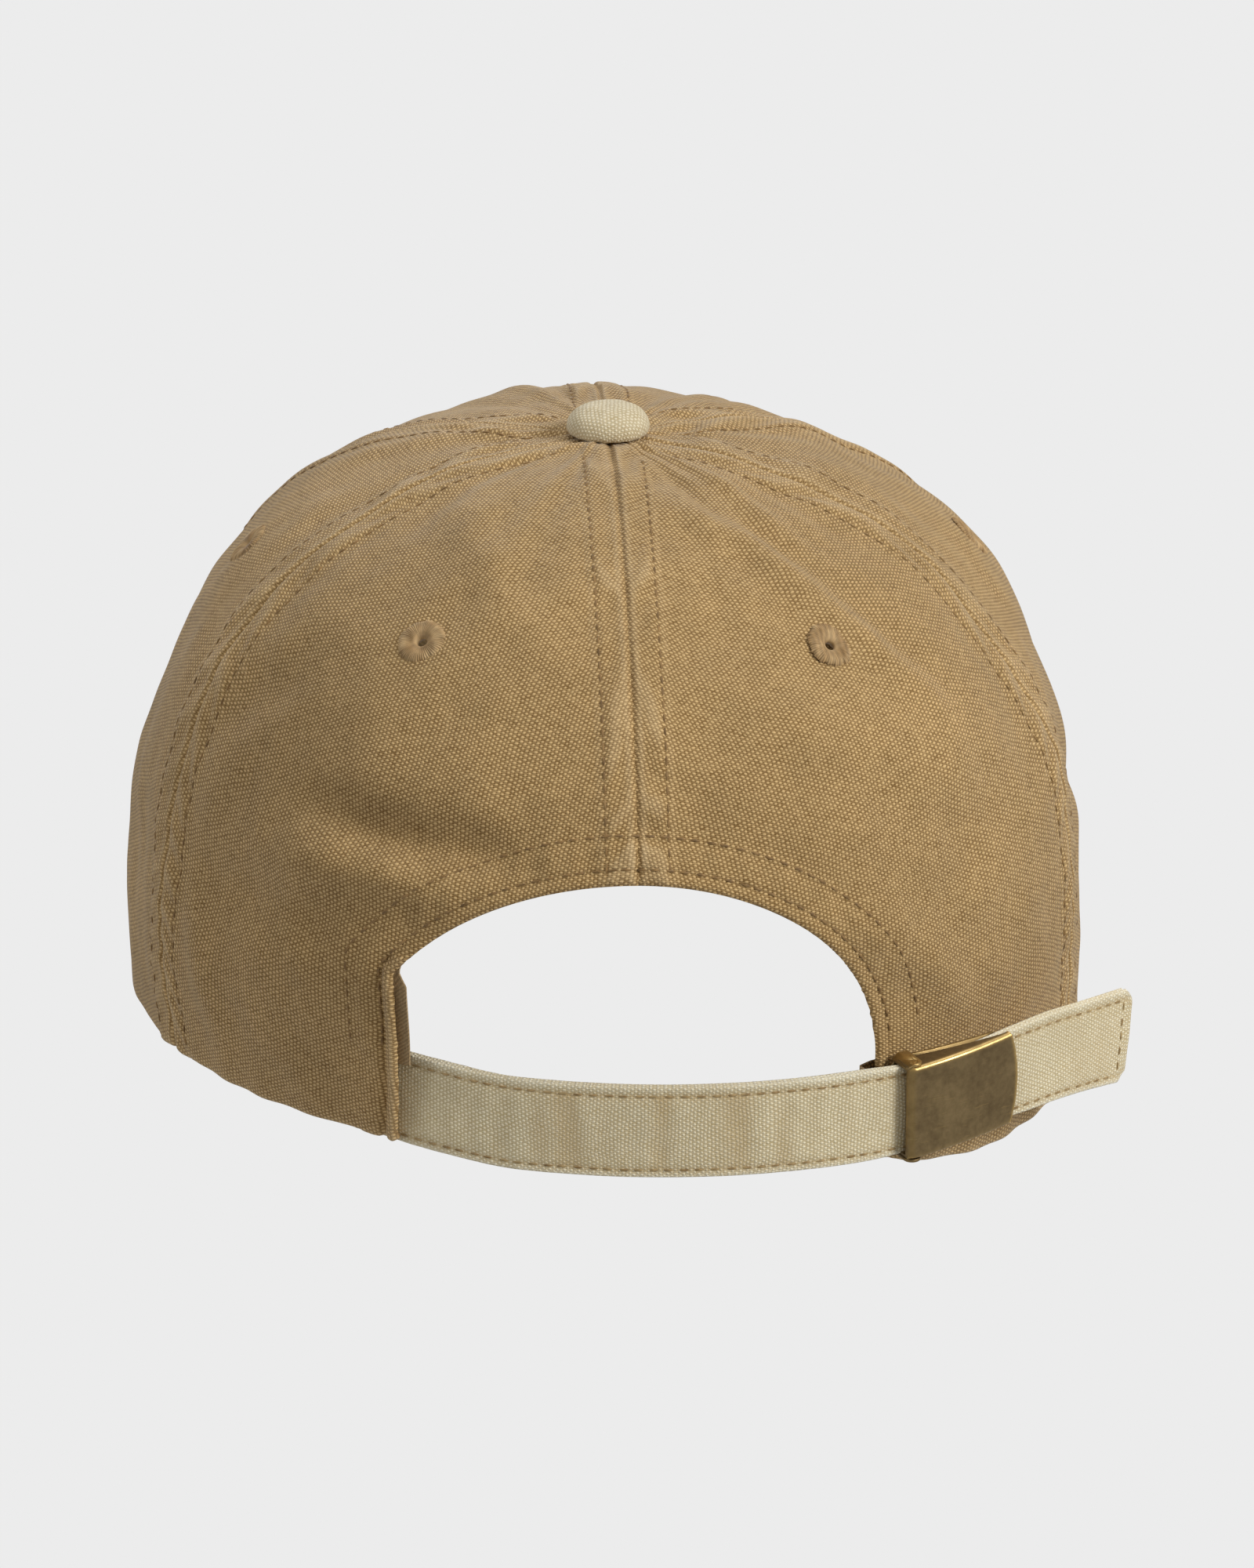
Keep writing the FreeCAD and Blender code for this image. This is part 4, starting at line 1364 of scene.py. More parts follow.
@dataclass
class Eyelets:
    """Six vent holes bound with close radial stitches."""

    crown: SewnCrown
    hole: float = 0.8 * MM
    rim: float = 4.4 * MM
    rise: float = 0.5 * MM
    stitches: int = 60
    back: float = 1.55 * MM

    def build(self) -> None:
        """Builds a bound ring for every vent."""
        for number, name in enumerate(EYELETS):
            self.ring(name, number)

    def section(self) -> Array:
        """Section of the ring as radius and height, a closed loop that grips the cloth from both sides."""
        corners = np.array([
            (self.hole, -0.5 * MM), (self.hole + 0.35 * MM, 0.0), (self.hole + 1.1 * MM, 0.4 * MM),
            (0.62 * self.rim, self.rise), (0.8 * self.rim, 0.93 * self.rise), (0.94 * self.rim, 0.5 * self.rise),
            (self.rim, -0.15 * MM), (0.85 * self.rim, -0.5 * MM), (0.72 * self.rim, -self.back),
            (0.5 * self.rim, -self.back - 0.35 * MM), (self.hole + 0.5 * MM, -self.back),
        ])
        return resample(np.concatenate([corners, corners[:1]]), 0.42 * MM)

    def ring(self, name: str, number: int) -> None:
        """One bound vent.

        Args:
            name: the panel it is in.
            number: seeds the unevenness of its stitches.
        """
        centre, out = eyelet_frame(self.crown, name)
        side = np.cross([0, 0, 1.0], out)
        side /= np.linalg.norm(side)
        up = np.cross(out, side)
        loop = self.section()
        rows = len(loop) - 1
        columns = self.stitches * 5
        draw = np.random.default_rng(40 + number)
        reach = draw.uniform(-0.2, 0.2, self.stitches) * MM
        lift = draw.uniform(-0.05, 0.07, self.stitches) * MM

        def place(across: Array, upward: Array) -> Array:
            turn = across * 2 * math.pi
            knot = nearest(across * self.stitches) % self.stitches
            radius = np.interp(upward * rows, np.arange(rows + 1), loop[:, 0])
            height = np.interp(upward * rows, np.arange(rows + 1), loop[:, 1])
            outer = smooth_step(1.5 * MM, self.rim, radius)
            groove = np.abs(np.cos(math.pi * across * self.stitches)) ** 0.7
            shown = height > -0.3 * MM
            dip = 0.2 * MM * (1 - groove) * smooth_step(1 * MM, 2 * MM, radius)
            height = height + shown * (outer * lift[knot] - dip)
            radius = radius + outer * reach[knot] * shown - outer * 0.12 * MM * (1 - groove)
            oval = 1 + 0.05 * np.cos(2 * turn + number)
            ahead = (radius * oval * np.cos(turn))[:, None] * side + (radius * np.sin(turn))[:, None] * up
            return centre + ahead + height[:, None] * out

        def flat(across: Array, upward: Array) -> Array:
            return np.stack([across * 2 * math.pi * self.rim, upward * rows * 0.42 * MM], 1)

        piece = grid_piece("eyelet_thread_" + name, columns, rows, place, flat)
        # Painted shade in the grooves between the stitches, plus a random tone for each stitch, for the thread finish.
        share = (np.arange(len(piece.data.vertices)) % (columns + 1)) / columns
        tone = draw.uniform(-0.15, 0.2, self.stitches)[nearest(share * self.stitches) % self.stitches]
        groove = 1 - np.abs(np.cos(math.pi * share * self.stitches)) ** 0.7
        paint_attribute(piece, "between", np.clip(0.95 * groove + tone, 0, 1))
        edit(piece, merge(POLE_GAP), FACE_OUT)
        smooth(piece, 80)
        finish_piece(piece, CROWN_BODY, EYELET_THREAD, "eyelet_" + name)


@dataclass
class CrownStitching:
    """Topstitching beside the seams and round the opening."""

    crown: SewnCrown
    maker: StitchMaker
    low: float = 0.022
    high: float = 0.952

    def build(self) -> None:
        """Sews the seam rows and the opening's rows."""
        for seam in self.crown.seams[:-1]:
            rows = [self.seam_row(seam, side) for side in (-1, 1)]
            self.maker.sew("stitches_seam_" + seam.name, rows, CROWN_BODY)
        rows = [self.arch_row(offset) for offset in self.crown.arch_rows]
        self.maker.sew("stitches_opening", rows, CROWN_BODY)

    def seam_row(self, seam: Seam, side: int) -> Pair:
        """One row beside a seam.

        Args:
            seam: the seam.
            side: 1 or -1.

        Returns:
            Points of the sewn surface and the directions out of it.
        """
        low = self.low
        if seam.name == "rear":
            top = self.crown.opening.foot + self.crown.opening.rise + 1.5 * MM
            low = float(self.crown.form.locate(np.array([0.0]), np.array([top]))[1][0])
        height = np.linspace(low, self.high, 400)
        azimuth = seam.azimuth(height)
        azimuth = azimuth + side * self.crown.row_offset / self.crown.form.ring(azimuth, height)
        points, outs, _ = self.crown.surface(azimuth, height, lift=0.05 * MM)
        return points, outs

    def arch_row(self, offset: float) -> Pair:
        """One row round the opening at a distance from its edge."""
        opening = self.crown.opening
        foot = 24.5 * MM
        whole = []
        for side in (1, -1):
            half = (opening.half_left if side > 0 else opening.half_right) + offset
            limit = opening.left_edge + offset if side > 0 else opening.middle - half
            turn = np.linspace(0, math.pi / 2, 200) * side
            x = opening.middle + half * np.sin(turn)
            z = opening.foot + (opening.rise + offset) * np.cos(turn)
            keep = (x <= limit) if side > 0 else (z > foot)
            x, z = x[keep], z[keep]
            if side > 0:
                x, z = np.append(x, limit), np.append(z, foot)
            whole.append(np.stack([x, z], 1))
        line = resample(np.concatenate([whole[0][::-1], whole[1][1:]]), 0.5 * MM)
        points, outs, _ = self.crown.surface(*self.crown.form.locate(line[:, 0], line[:, 1]), lift=0.05 * MM)
        return points, outs


@dataclass
class InnerTapes:
    """Cotton tapes that cover the seams inside, and the strip that faces the rear opening."""

    crown: SewnCrown
    maker: StitchMaker
    half_width: float = 6.0 * MM
    thickness: float = 0.45 * MM
    depth: float = 0.75 * MM
    low: float = 0.06
    rear_low: float = 0.56
    high: float = 0.93
    facing_width: float = 9.6 * MM
    facing_peek: float = 1.3 * MM
    facing_tuck: float = -1.0 * MM
    facing_foot: float = 21.3 * MM

    def build(self) -> None:
        """Builds six tapes and the facing."""
        for seam in self.crown.seams[:-1]:
            self.tape(seam)
        self.facing()

    def tape(self, seam: Seam) -> None:
        """One seam tape."""
        low = self.rear_low if seam.name == "rear" else self.low

        def spot(across: Array, upward: Array) -> Pair:
            height = low + upward * (self.high - low)
            azimuth = seam.azimuth(height)
            half = np.minimum(self.half_width / self.crown.form.ring(azimuth, height), math.radians(26))
            return azimuth + (2 * across - 1) * half, height

        def place(across: Array, upward: Array) -> Array:
            azimuth, height = spot(across, upward)
            points, outs, _ = self.crown.surface(azimuth, height, sewn=False)
            fat = 0.18 * MM * bell(2 * across - 1, 0.5) + 0.06 * MM * np.sin(upward * 120)
            tuck = rolled_in((1 - np.abs(2 * across - 1)) * self.half_width, 0.4 * MM)
            return points - outs * (self.depth + fat - tuck * 0.4)[:, None]

        def flat(across: Array, upward: Array) -> Array:
            return np.stack([(2 * across - 1) * self.half_width, upward * 0.13], 1)

        piece = grid_piece("tape_cloth_" + seam.name, 18, 150, place, flat)
        finish_sheet(piece, np.array([0.0, 0.0, 20 * MM]), self.thickness, COTTON_TAPE, "seam_tape_" + seam.name)
        rows = [self.tape_row(seam, low, side) for side in (-1, 1)]
        self.maker.sew("stitches_tape_" + seam.name, rows, CROWN_BODY)

    def tape_row(self, seam: Seam, low: float, side: int) -> Pair:
        """Stitches along a tape, on its inner face."""
        height = np.linspace(low + 0.01, self.high - 0.02, 300)
        azimuth = seam.azimuth(height)
        ring = self.crown.form.ring(azimuth, height)
        azimuth = azimuth + side * np.minimum((self.half_width - 1.2 * MM) / ring, math.radians(20))
        points, outs, _ = self.crown.surface(azimuth, height, lift=-self.depth - self.thickness - 0.08 * MM, sewn=False)
        return points, -outs

    def facing(self) -> None:
        """The strip inside the opening's edge; on the left it shows past the cloth."""
        halves = [self.crown.opening_flat(side) for side in (1, -1)]
        whole = np.concatenate([halves[0], halves[1][::-1][1:]])
        whole = resample(whole[whole[:, 1] > self.facing_foot], 0.6 * MM)
        ahead = np.gradient(whole, axis=0)
        ahead = unit_rows(ahead)
        for _ in range(6):
            ahead[1:-1] = (ahead[:-2] + ahead[1:-1] + ahead[2:]) / 3
        away = np.stack([-ahead[:, 1], ahead[:, 0]], 1)
        centre = np.array([self.crown.opening.middle, 30 * MM])
        away *= np.sign(np.sum(away * (whole - centre), axis=1))[:, None]
        peek = np.where((whole[:, 0] > 0) & (whole[:, 1] < 39 * MM), self.facing_peek, self.facing_tuck)
        peek = np.convolve(np.pad(peek, 4, mode="edge"), np.ones(9) / 9, mode="valid")
        columns = len(whole) - 1

        def flat_spot(across: Array, upward: Array) -> Array:
            i = nearest(across * columns)
            reach = -peek[i] + upward * (self.facing_width + peek[i])
            return whole[i] + away[i] * reach[:, None]

        def place(across: Array, upward: Array) -> Array:
            spots = flat_spot(across, upward)
            azimuth, height = self.crown.form.locate(spots[:, 0], spots[:, 1])
            points, outs, _ = self.crown.surface(azimuth, height, sewn=False)
            return points - outs * (1.15 * MM)

        def flat(across: Array, upward: Array) -> Array:
            return np.stack([upward * self.facing_width, across * columns * 0.6 * MM], 1)

        piece = grid_piece("opening_facing_cloth", columns, 14, place, flat)
        finish_sheet(piece, np.array([0.0, 0.0, 20 * MM]), self.thickness, COTTON_TAPE, "opening_facing")


@dataclass
class Sweatband:
    """Folded twill band inside the hem, with its nonwoven stiffener and a blank care label."""

    crown: SewnCrown
    maker: StitchMaker
    height: float = 31.0 * MM
    gap: float = 3.2 * MM
    pocket: float = 1.8 * MM
    pocket_at: float = 44.0
    pocket_spread: float = 26.0
    outer_depth: float = 0.55 * MM
    thickness: float = 0.8 * MM
    left_end: float = 30.6
    right_end: float = 31.5
    stiffener_end: float = 33.0
    label_width: float = 24.0 * MM
    label_from: float = 0.1
    label_to: float = 0.9

    def point(self, azimuth: Array, level: Array, depth: Array) -> Array:
        """A point of the band: level 0 at its foot and 1 at its top, depth inwards."""
        form = self.crown.form
        c, s = np.cos(azimuth), np.sin(azimuth)
        half = np.where(c > 0, form.half_rear, form.half_front)
        hem = np.stack([form.half_width * s, half * c], 1)
        outward = np.stack([s / form.half_width, c / half], 1)
        outward = unit_rows(outward)
        off = (np.degrees(azimuth) - self.pocket_at) / self.pocket_spread
        place = hem - outward * (self.gap + self.pocket * np.exp(-off ** 4) + depth)[:, None]
        return np.column_stack([place, form.hem_height(azimuth) + 0.8 * MM + level * self.height])

    def build(self) -> None:
        """Builds the band, its stitches and the label, and dresses the stiffener."""
        wave = SoftNoise(21, 26 * MM)

        def spot(across: Array) -> Array:
            return np.radians(self.left_end + across * (360 - self.left_end - self.right_end))

        def place(across: Array, upward: Array) -> Array:
            level = crowd_ends(upward, 0.6)
            rough = self.point(spot(across), level, np.full(len(across), self.outer_depth))
            sway = 0.16 * MM * wave.at(rough) * np.sin(math.pi * level)
            edge = rolled_in(np.minimum(level, 1 - level) * self.height, 0.7 * MM)
            row = 0.2 * MM * (bell(level * self.height - 2.2 * MM, 0.5 * MM)
                              + bell((1 - level) * self.height - 2.0 * MM, 0.5 * MM))
            return self.point(spot(across), level, self.outer_depth + 0.2 * MM + sway + edge * 0.6 - row * 0.5)

        def flat(across: Array, upward: Array) -> Array:
            return np.stack([across * 0.48, crowd_ends(upward, 0.6) * self.height], 1)

        piece = grid_piece("sweatband_cloth", 520, 34, place, flat)
        finish_sheet(piece, np.array([0.0, 0.0, 10 * MM]), self.thickness, SWEAT_TWILL, "sweatband")
        self.maker.sew("stitches_sweatband", [self.row(0.07), self.row(0.935)], CROWN_BODY)
        self.stiffener()
        self.label()

    def stiffener(self) -> None:
        """The nonwoven strip that the band is folded round."""
        def place(across: Array, upward: Array) -> Array:
            azimuth = np.radians(self.stiffener_end + across * (360 - 2 * self.stiffener_end))
            return self.point(azimuth, 0.04 + 0.9 * upward, np.full(len(across), 0.05 * MM))

        def flat(across: Array, upward: Array) -> Array:
            return np.stack([across * 0.48, upward * self.height], 1)

        piece = grid_piece("sweatband_stiffener", 360, 16, place, flat)
        finish_sheet(piece, np.array([0.0, 0.0, 10 * MM]), 0.45 * MM, NONWOVEN, "sweatband_interlining")

    def row(self, level: float) -> Pair:
        """Stitches along the band, on its inner face."""
        azimuth = np.radians(np.linspace(self.left_end + 0.6, 360 - self.right_end - 0.6, 700))
        depth = np.full(700, self.outer_depth + self.thickness + 0.26 * MM)
        points = self.point(azimuth, np.full(700, level), depth)
        deeper = self.point(azimuth, np.full(700, level), depth + MM)
        return points, (deeper - points) / MM

    def label(self) -> None:
        """The blank satin care label, its free edge standing off a little."""
        half = math.radians(8)
        depth = self.outer_depth + self.thickness + 0.45 * MM

        def place(across: Array, upward: Array) -> Array:
            azimuth = math.radians(100) + (2 * across - 1) * half
            level = self.label_from + (self.label_to - self.label_from) * upward
            curl = 1.6 * MM * upward ** 2 * (0.6 + 0.4 * np.cos(3 * across))
            return self.point(azimuth, level, depth + curl)

        def flat(across: Array, upward: Array) -> Array:
            return np.stack([across * self.label_width, upward * 25 * MM], 1)

        piece = grid_piece("care_label_satin", 40, 40, place, flat)
        finish_sheet(piece, np.array([0.0, 0.0, 10 * MM]), 0.25 * MM, WHITE_SATIN, "care_label")


@dataclass
class Button:
    """Canvas-covered button on the apex."""

    apex_y: float = 5.5 * MM
    foot: float = 105.95 * MM
    radius: float = 7.25 * MM
    height: float = 5.0 * MM
    wall: float = 0.7 * MM
    turn_in: float = 4.7 * MM
    pleats: int = 18

    def build(self) -> None:
        """Builds the cover as a dome whose gathered rim turns in underneath."""
        dome = np.linspace(math.pi / 2, 0, 26)
        shoulder = 1.1 * MM
        top = np.stack([self.radius * np.cos(dome) ** 0.72,
                        shoulder + (self.height - shoulder) * np.sin(dome)], 1)
        under = np.linspace(0, math.pi / 2, 9)[1:]
        fold = np.stack([self.radius - 0.9 * MM * (1 - np.cos(under)), shoulder * (1 - np.sin(under))], 1)
        profile = np.concatenate([top, fold, [[self.turn_in, 0.02 * MM]]])
        profile[0, 0] = 0.0
        profile = resample(profile, 0.3 * MM)
        reach = along_line(profile)
        rows = len(profile) - 1
        lumps = SoftNoise(31, 4.5 * MM)

        def place(across: Array, upward: Array) -> Array:
            i = nearest(upward * rows)
            turn = across * 2 * math.pi
            radius, height = profile[i, 0], profile[i, 1]
            low = smooth_step(0.62, 1.0, upward)
            gather = 0.16 * MM * low * np.cos(self.pleats * turn + 0.8 * np.sin(3 * turn))
            radius = radius + gather * (radius > 3 * MM)
            spot = np.stack([radius * np.cos(turn), radius * np.sin(turn), height], 1)
            swell = 0.07 * MM * lumps.at(spot) * (1 - low)
            spot[:, 2] += swell
            return spot + np.array([0, self.apex_y, self.foot])

        def flat(across: Array, upward: Array) -> Array:
            i = nearest(upward * rows)
            turn = across * 2 * math.pi
            return np.stack([reach[i] * np.cos(turn), reach[i] * np.sin(turn)], 1)

        piece = grid_piece("button_cloth", 108, rows, place, flat)
        edit(piece, merge(POLE_GAP))
        finish_sheet(piece, np.array([0.0, self.apex_y, self.foot]), self.wall, BUTTON_CANVAS, "button_cover")


@dataclass
class Visor:
    """Curved visor: two cloths sewn through a stiff board in rows that follow its rim."""

    crown: SewnCrown
    maker: StitchMaker
    length: float = 68.0 * MM
    reach: float = 62.0
    end_half_width: float = 77.0 * MM
    swell: float = 7.0 * MM
    side_drop: float = 13.0 * MM
    slope: float = 0.16
    board_half: float = 1.0 * MM
    cloth: float = 0.6 * MM
    first_row: float = 4.0 * MM
    row_pitch: float = 7.2 * MM
    row_count: int = 8
    root: float = -0.012

    def sheet(self, u: Array, v: Array, lift: Array) -> Array:
        """The visor's middle sheet: u from -1 to 1 across, v from 0 at the hem to 1 at the rim."""
        form = self.crown.form
        reach = math.radians(self.reach)
        root = form.point(math.pi - reach * u, np.zeros(len(u)))
        root[:, 2] -= 0.4 * MM
        across = np.sin(math.pi / 2 * u)
        fore = np.maximum(0.0, np.cos(math.pi / 2 * u))
        half_width = self.end_half_width + self.swell * np.sin(math.pi * np.abs(u))
        rim_x = np.sign(u) * np.abs(across) ** 0.86 * half_width
        start_y = form.half_front * math.cos(reach) - 2 * MM
        rim_y = start_y + (form.half_front + self.length - start_y) * fore ** 0.72
        sideways = rim_x / form.half_width
        drop = self.side_drop * sideways ** 2 + self.slope * (rim_y - start_y - 40 * MM)
        front = float(form.hem_height(np.array([math.pi]))[0])
        rim = np.stack([rim_x, -rim_y, front + form.hem_tilt * sideways - drop], 1)
        place = root + (rim - root) * v[:, None]
        place[:, 2] += lift
        return place

    def depth(self, u: Array) -> Array:
        """Length of the visor from the hem to the rim."""
        zero = np.zeros(len(u))
        return np.linalg.norm(self.sheet(u, zero + 1, zero) - self.sheet(u, zero, zero), axis=1)

    def face(self, u: Array, v: Array, side: int, extra: float = 0.0) -> Array:
        """The cloth's outer face on one side of the board.

        Args:
            u: place across.
            v: place from the hem to the rim.
            side: 1 for the top, -1 for the underside.
            extra: lift above the cloth.

        Returns:
            One row per point.
        """
        from_rim = np.maximum(0.0, (1 - v) * self.depth(u))
        full = self.board_half + self.cloth + 0.1 * MM
        round_off = np.sqrt(np.clip(1 - np.clip(1 - from_rim / full, 0, 1) ** 2, 0, 1))
        beads = sum(0.22 * MM * bell(from_rim - self.row_distance(k), 0.6 * MM) for k in range(self.row_count))
        puff = 0.12 * MM * np.sin(math.pi * np.clip((from_rim - self.first_row) / self.row_pitch, 0, 99)) ** 2
        welt = 0.25 * MM * bell(from_rim - 1.8 * MM, 1.2 * MM)
        lift = full * round_off + (welt - beads + puff) * round_off + extra
        return self.sheet(u, v, side * lift)

    def row_distance(self, number: int) -> float:
        """Distance of a row of stitches from the rim."""
        return self.first_row + number * self.row_pitch

    def build(self) -> None:
        """Builds both cloths and their rows."""
        for side, name in ((1, "top"), (-1, "under")):
            self.cloth_piece(side, name)
            rows = [self.stitch_row(number, side) for number in range(self.row_count)]
            self.maker.sew("stitches_visor_" + name, rows, CROWN_BODY, STRAP_THREAD)

    def cloth_piece(self, side: int, name: str) -> None:
        """One of the visor's cloths."""
        def spot(across: Array, upward: Array) -> Pair:
            v = self.root + (1 - self.root) * (1 - (1 - upward) ** 1.35)
            return np.clip(2 * crowd_ends(across, 0.5) - 1, -1, 1), v

        def place(across: Array, upward: Array) -> Array:
            return self.face(*spot(across, upward), side)

        def flat(across: Array, upward: Array) -> Array:
            return place(across, upward)[:, :2]

        piece = grid_piece("visor_cloth_" + name, 230, 130, place, flat)
        worn = 0.5 * smooth_step(0.975, 1.0, self.shares_up(piece, 230, 130))
        paint_attribute(piece, "worn", worn)
        shift = vertex_array(piece) - np.array([0, 0, side * 40 * MM])
        finish_sheet(piece, shift, self.cloth, CREAM_CANVAS, f"visor_{name}_cloth")

    def shares_up(self, piece: Piece, columns: int, rows: int) -> Array:
        """Row shares of a fresh grid's vertices."""
        return (np.arange(len(piece.data.vertices)) // (columns + 1)) / rows

    def stitch_row(self, number: int, side: int) -> Pair:
        """A row of stitches that follows the rim, cut off where it meets the crown."""
        u = np.linspace(-0.985, 0.985, 900)
        v = 1 - self.row_distance(number) / self.depth(u)
        u, v = u[v > 0.06], v[v > 0.06]
        points = self.face(u, v, side, 0.04 * MM)
        out = np.zeros_like(points)
        out[:, 2] = side
        return points, out


# ---- strap and buckle ---------------------------------------------------------------------------


@dataclass(frozen=True)
class StrapArc:
    """The ring that the strap slides on. Degrees are from the rear towards the left."""

    centre_x: float = -9.5 * MM
    centre_y: float = 5.5 * MM
    radius: float = 90.6 * MM
    middle: float = 12.4 * MM
    hidden_end: float = 54.5
    tail_end: float = -56.0

    def point(self, degrees: Array, radius: Array, height: Array) -> Array:
        """Points on the ring: height is over the strap's middle line."""
        turn = np.radians(degrees)
        return np.stack([self.centre_x + radius * np.sin(turn), self.centre_y + radius * np.cos(turn),
                         self.middle + height], 1)

    def outward(self, degrees: Array) -> Array:
        """Unit directions away from the ring's centre."""
        turn = np.radians(degrees)
        return np.stack([np.sin(turn), np.cos(turn), np.zeros(len(turn))], 1)


def rounded_section(half_width: float, half_depth: float, faces: int, turns: int) -> Array:
    """Closed section of a flat ribbon with round edges.

    Args:
        half_width: half its height.
        half_depth: half its thickness, also the radius of its edges.
        faces: points along each flat.
        turns: points round each edge.

    Returns:
        Rows of depth and height, the first point repeated at the end.
    """
    straight = half_width - half_depth
    flat = np.linspace(-straight, straight, faces)
    arc = np.linspace(0, math.pi, turns + 2)[1:-1]
    front = np.stack([np.full(faces, half_depth), flat], 1)
    top = np.stack([half_depth * np.cos(arc), straight + half_depth * np.sin(arc)], 1)
    loop = np.concatenate([front, top, -front, -top])
    return np.concatenate([loop, loop[:1]])


@dataclass
class Strap:
    """Two-ply canvas strap with a stitched border and a cropped tail."""

    arc: StrapArc
    maker: StitchMaker
    half_width: float = 8.3 * MM
    ply: float = 0.8 * MM
    crop: float = 1.6 * MM
    top_row: float = 1.8 * MM
    low_row: float = 1.4 * MM
    flare: float = 2.4 * MM
    flare_from: float = -40.0
    columns: int = 420

    def __post_init__(self) -> None:
        """Draws the strap's unevenness."""
        self.wave = SoftNoise(51, 15 * MM)
        self.crinkle = SoftNoise(52, 5 * MM)
        self.bunch = SoftNoise(53, 5.4 * MM, 40)

    def middle_radius(self, degrees: Array) -> Array:
        """Radius of the strap's middle line: the tail stands off the ring."""
        share = np.clip((self.flare_from - degrees) / (self.flare_from - self.arc.tail_end), 0, 1)
        return self.arc.radius + self.flare * share ** 2

    def rise(self, degrees: Array) -> Array:
        """Height of the middle line: higher where it runs into the crown, drooping at the tail."""
        lifted = 1.2 * MM * smooth_step(19, 31, degrees) + 1.2 * MM * smooth_step(28, 40, degrees)
        climb = 1.5 * MM * smooth_step(23, 37, -degrees)
        return lifted + climb - 2.0 * MM * np.clip((-43 - degrees) / 13, 0, 1) ** 1.3

    def skew(self, degrees: Array, height: Array) -> Array:
        """Azimuth after the slanting cut of the tail."""
        near = np.clip((-48 - degrees) / 8, 0, 1)
        return degrees - near * math.degrees(1.5 * MM / self.arc.radius) * height / self.half_width

    def reach_to_tail(self, degrees: Array) -> Array:
        """Distance to the tail's end, along the strap."""
        return np.radians(degrees - self.arc.tail_end) * self.arc.radius

    def half_height(self, degrees: Array) -> Array:
        """Half the strap's height, less at the cropped corners and inside the buckle."""
        crop = np.clip(self.crop - self.reach_to_tail(degrees), 0, self.crop)
        held = 0.55 * MM * np.exp(-((degrees + 29.5) / 8.0) ** 4)
        return self.half_width - crop - held

    def relief(self, degrees: Array, height: Array) -> Array:
        """Unevenness of a face: sunk rows, cross ripples and washing waves."""
        run = np.radians(degrees) * self.arc.radius
        spot = np.stack([run, height, np.zeros(len(run))], 1)
        top = self.half_width - self.top_row
        low = -(self.half_width - self.low_row)
        rows = bell(height - top, 0.5 * MM) + bell(height - low, 0.5 * MM)
        loose = smooth_step(-18, -8, degrees) * (1 - smooth_step(16, 26, degrees))
        ripple = self.ripples(spot)
        across = smooth_step(low, low + 3 * MM, height) * (1 - smooth_step(top - 3 * MM, top, height))
        pinch = np.sin(2 * math.pi * run / (2.7 * MM)) * (bell(height - top, 1.0 * MM) + bell(height - low, 1.0 * MM))
        return (-0.16 * MM * rows + 0.11 * MM * ripple * loose * (0.3 + 0.7 * across)
                + 0.07 * MM * self.wave.at(spot) + 0.03 * MM * self.crinkle.at(spot) + 0.03 * MM * pinch)

    def ripples(self, spot: Array) -> Array:
        """Uneven cross ripples, as the strap bunches between its stitched rows."""
        steep = spot * np.array([1.0, 0.12, 1.0])
        return 0.75 * self.bunch.at(steep) + 0.35 * self.crinkle.at(steep * np.array([0.9, 1, 1]))

    def shade_and_stains(self, degrees: Array, height: Array) -> Array:
        """Painted shade in the ripples' hollows and along the stitched rows, with faint cloudy staining."""
        run = np.radians(degrees) * self.arc.radius
        spot = np.stack([run, height, np.zeros(len(run))], 1)
        ripple = self.ripples(spot)
        loose = 0.25 + 0.75 * smooth_step(-22, -10, degrees) * (1 - smooth_step(18, 30, degrees))
        cloudy = np.clip(0.5 + 0.6 * self.wave.at(spot * np.array([0.8, 0.5, 1]) + 0.03), 0, 1)
        # Painted shade where the ripples sink.
        hollow = 0.24 * np.clip(0.6 - ripple, 0, 1.5) * loose * (0.35 + 0.65 * cloudy)
        top, low = self.half_width - self.top_row, -(self.half_width - self.low_row)
        # Painted shade along the sunk stitched rows.
        rows = 0.4 * (bell(height - top, 0.5 * MM) + bell(height - low, 0.5 * MM))
        return np.clip(hollow * (np.abs(height) < top) + rows + 0.08 * cloudy, 0, 0.8)

    def build(self) -> None:
        """Builds both plies and their stitches."""
        for side, name in ((1, "front"), (-1, "back")):
            self.ply_piece(side, name)
            self.maker.sew("stitches_strap_" + name, self.rows(side), STRAP_BODY, STRAP_THREAD)

    def run_degrees(self, across: Array) -> Array:
        """Azimuth for a share of the strap's length."""
        return self.arc.hidden_end + across * (self.arc.tail_end - self.arc.hidden_end)

    def ply_piece(self, side: int, name: str) -> None:
        """One ply of the strap.

        Args:
            side: 1 for the outer ply, -1 for the inner.
            name: the ply's name.
        """
        unit = rounded_section(1.0, self.ply / 2 / self.half_width, 34, 7)
        rows = len(unit) - 1
        girth = along_line(unit) * self.half_width

        def place(across: Array, upward: Array) -> Array:
            degrees = self.run_degrees(across)
            i = nearest(upward * rows)
            depth = unit[i, 0] * self.half_width
            height = unit[i, 1] * self.half_height(degrees)
            shown = smooth_step(0.0, 0.3 * MM, depth * side)
            radius = self.middle_radius(degrees) + side * self.ply / 2 + depth
            radius = radius + side * shown * self.relief(degrees, height)
            return self.arc.point(self.skew(degrees, height), radius, height + self.rise(degrees))

        def flat(across: Array, upward: Array) -> Array:
            i = nearest(upward * rows)
            return np.stack([np.radians(self.run_degrees(across)) * self.arc.radius, girth[i]], 1)

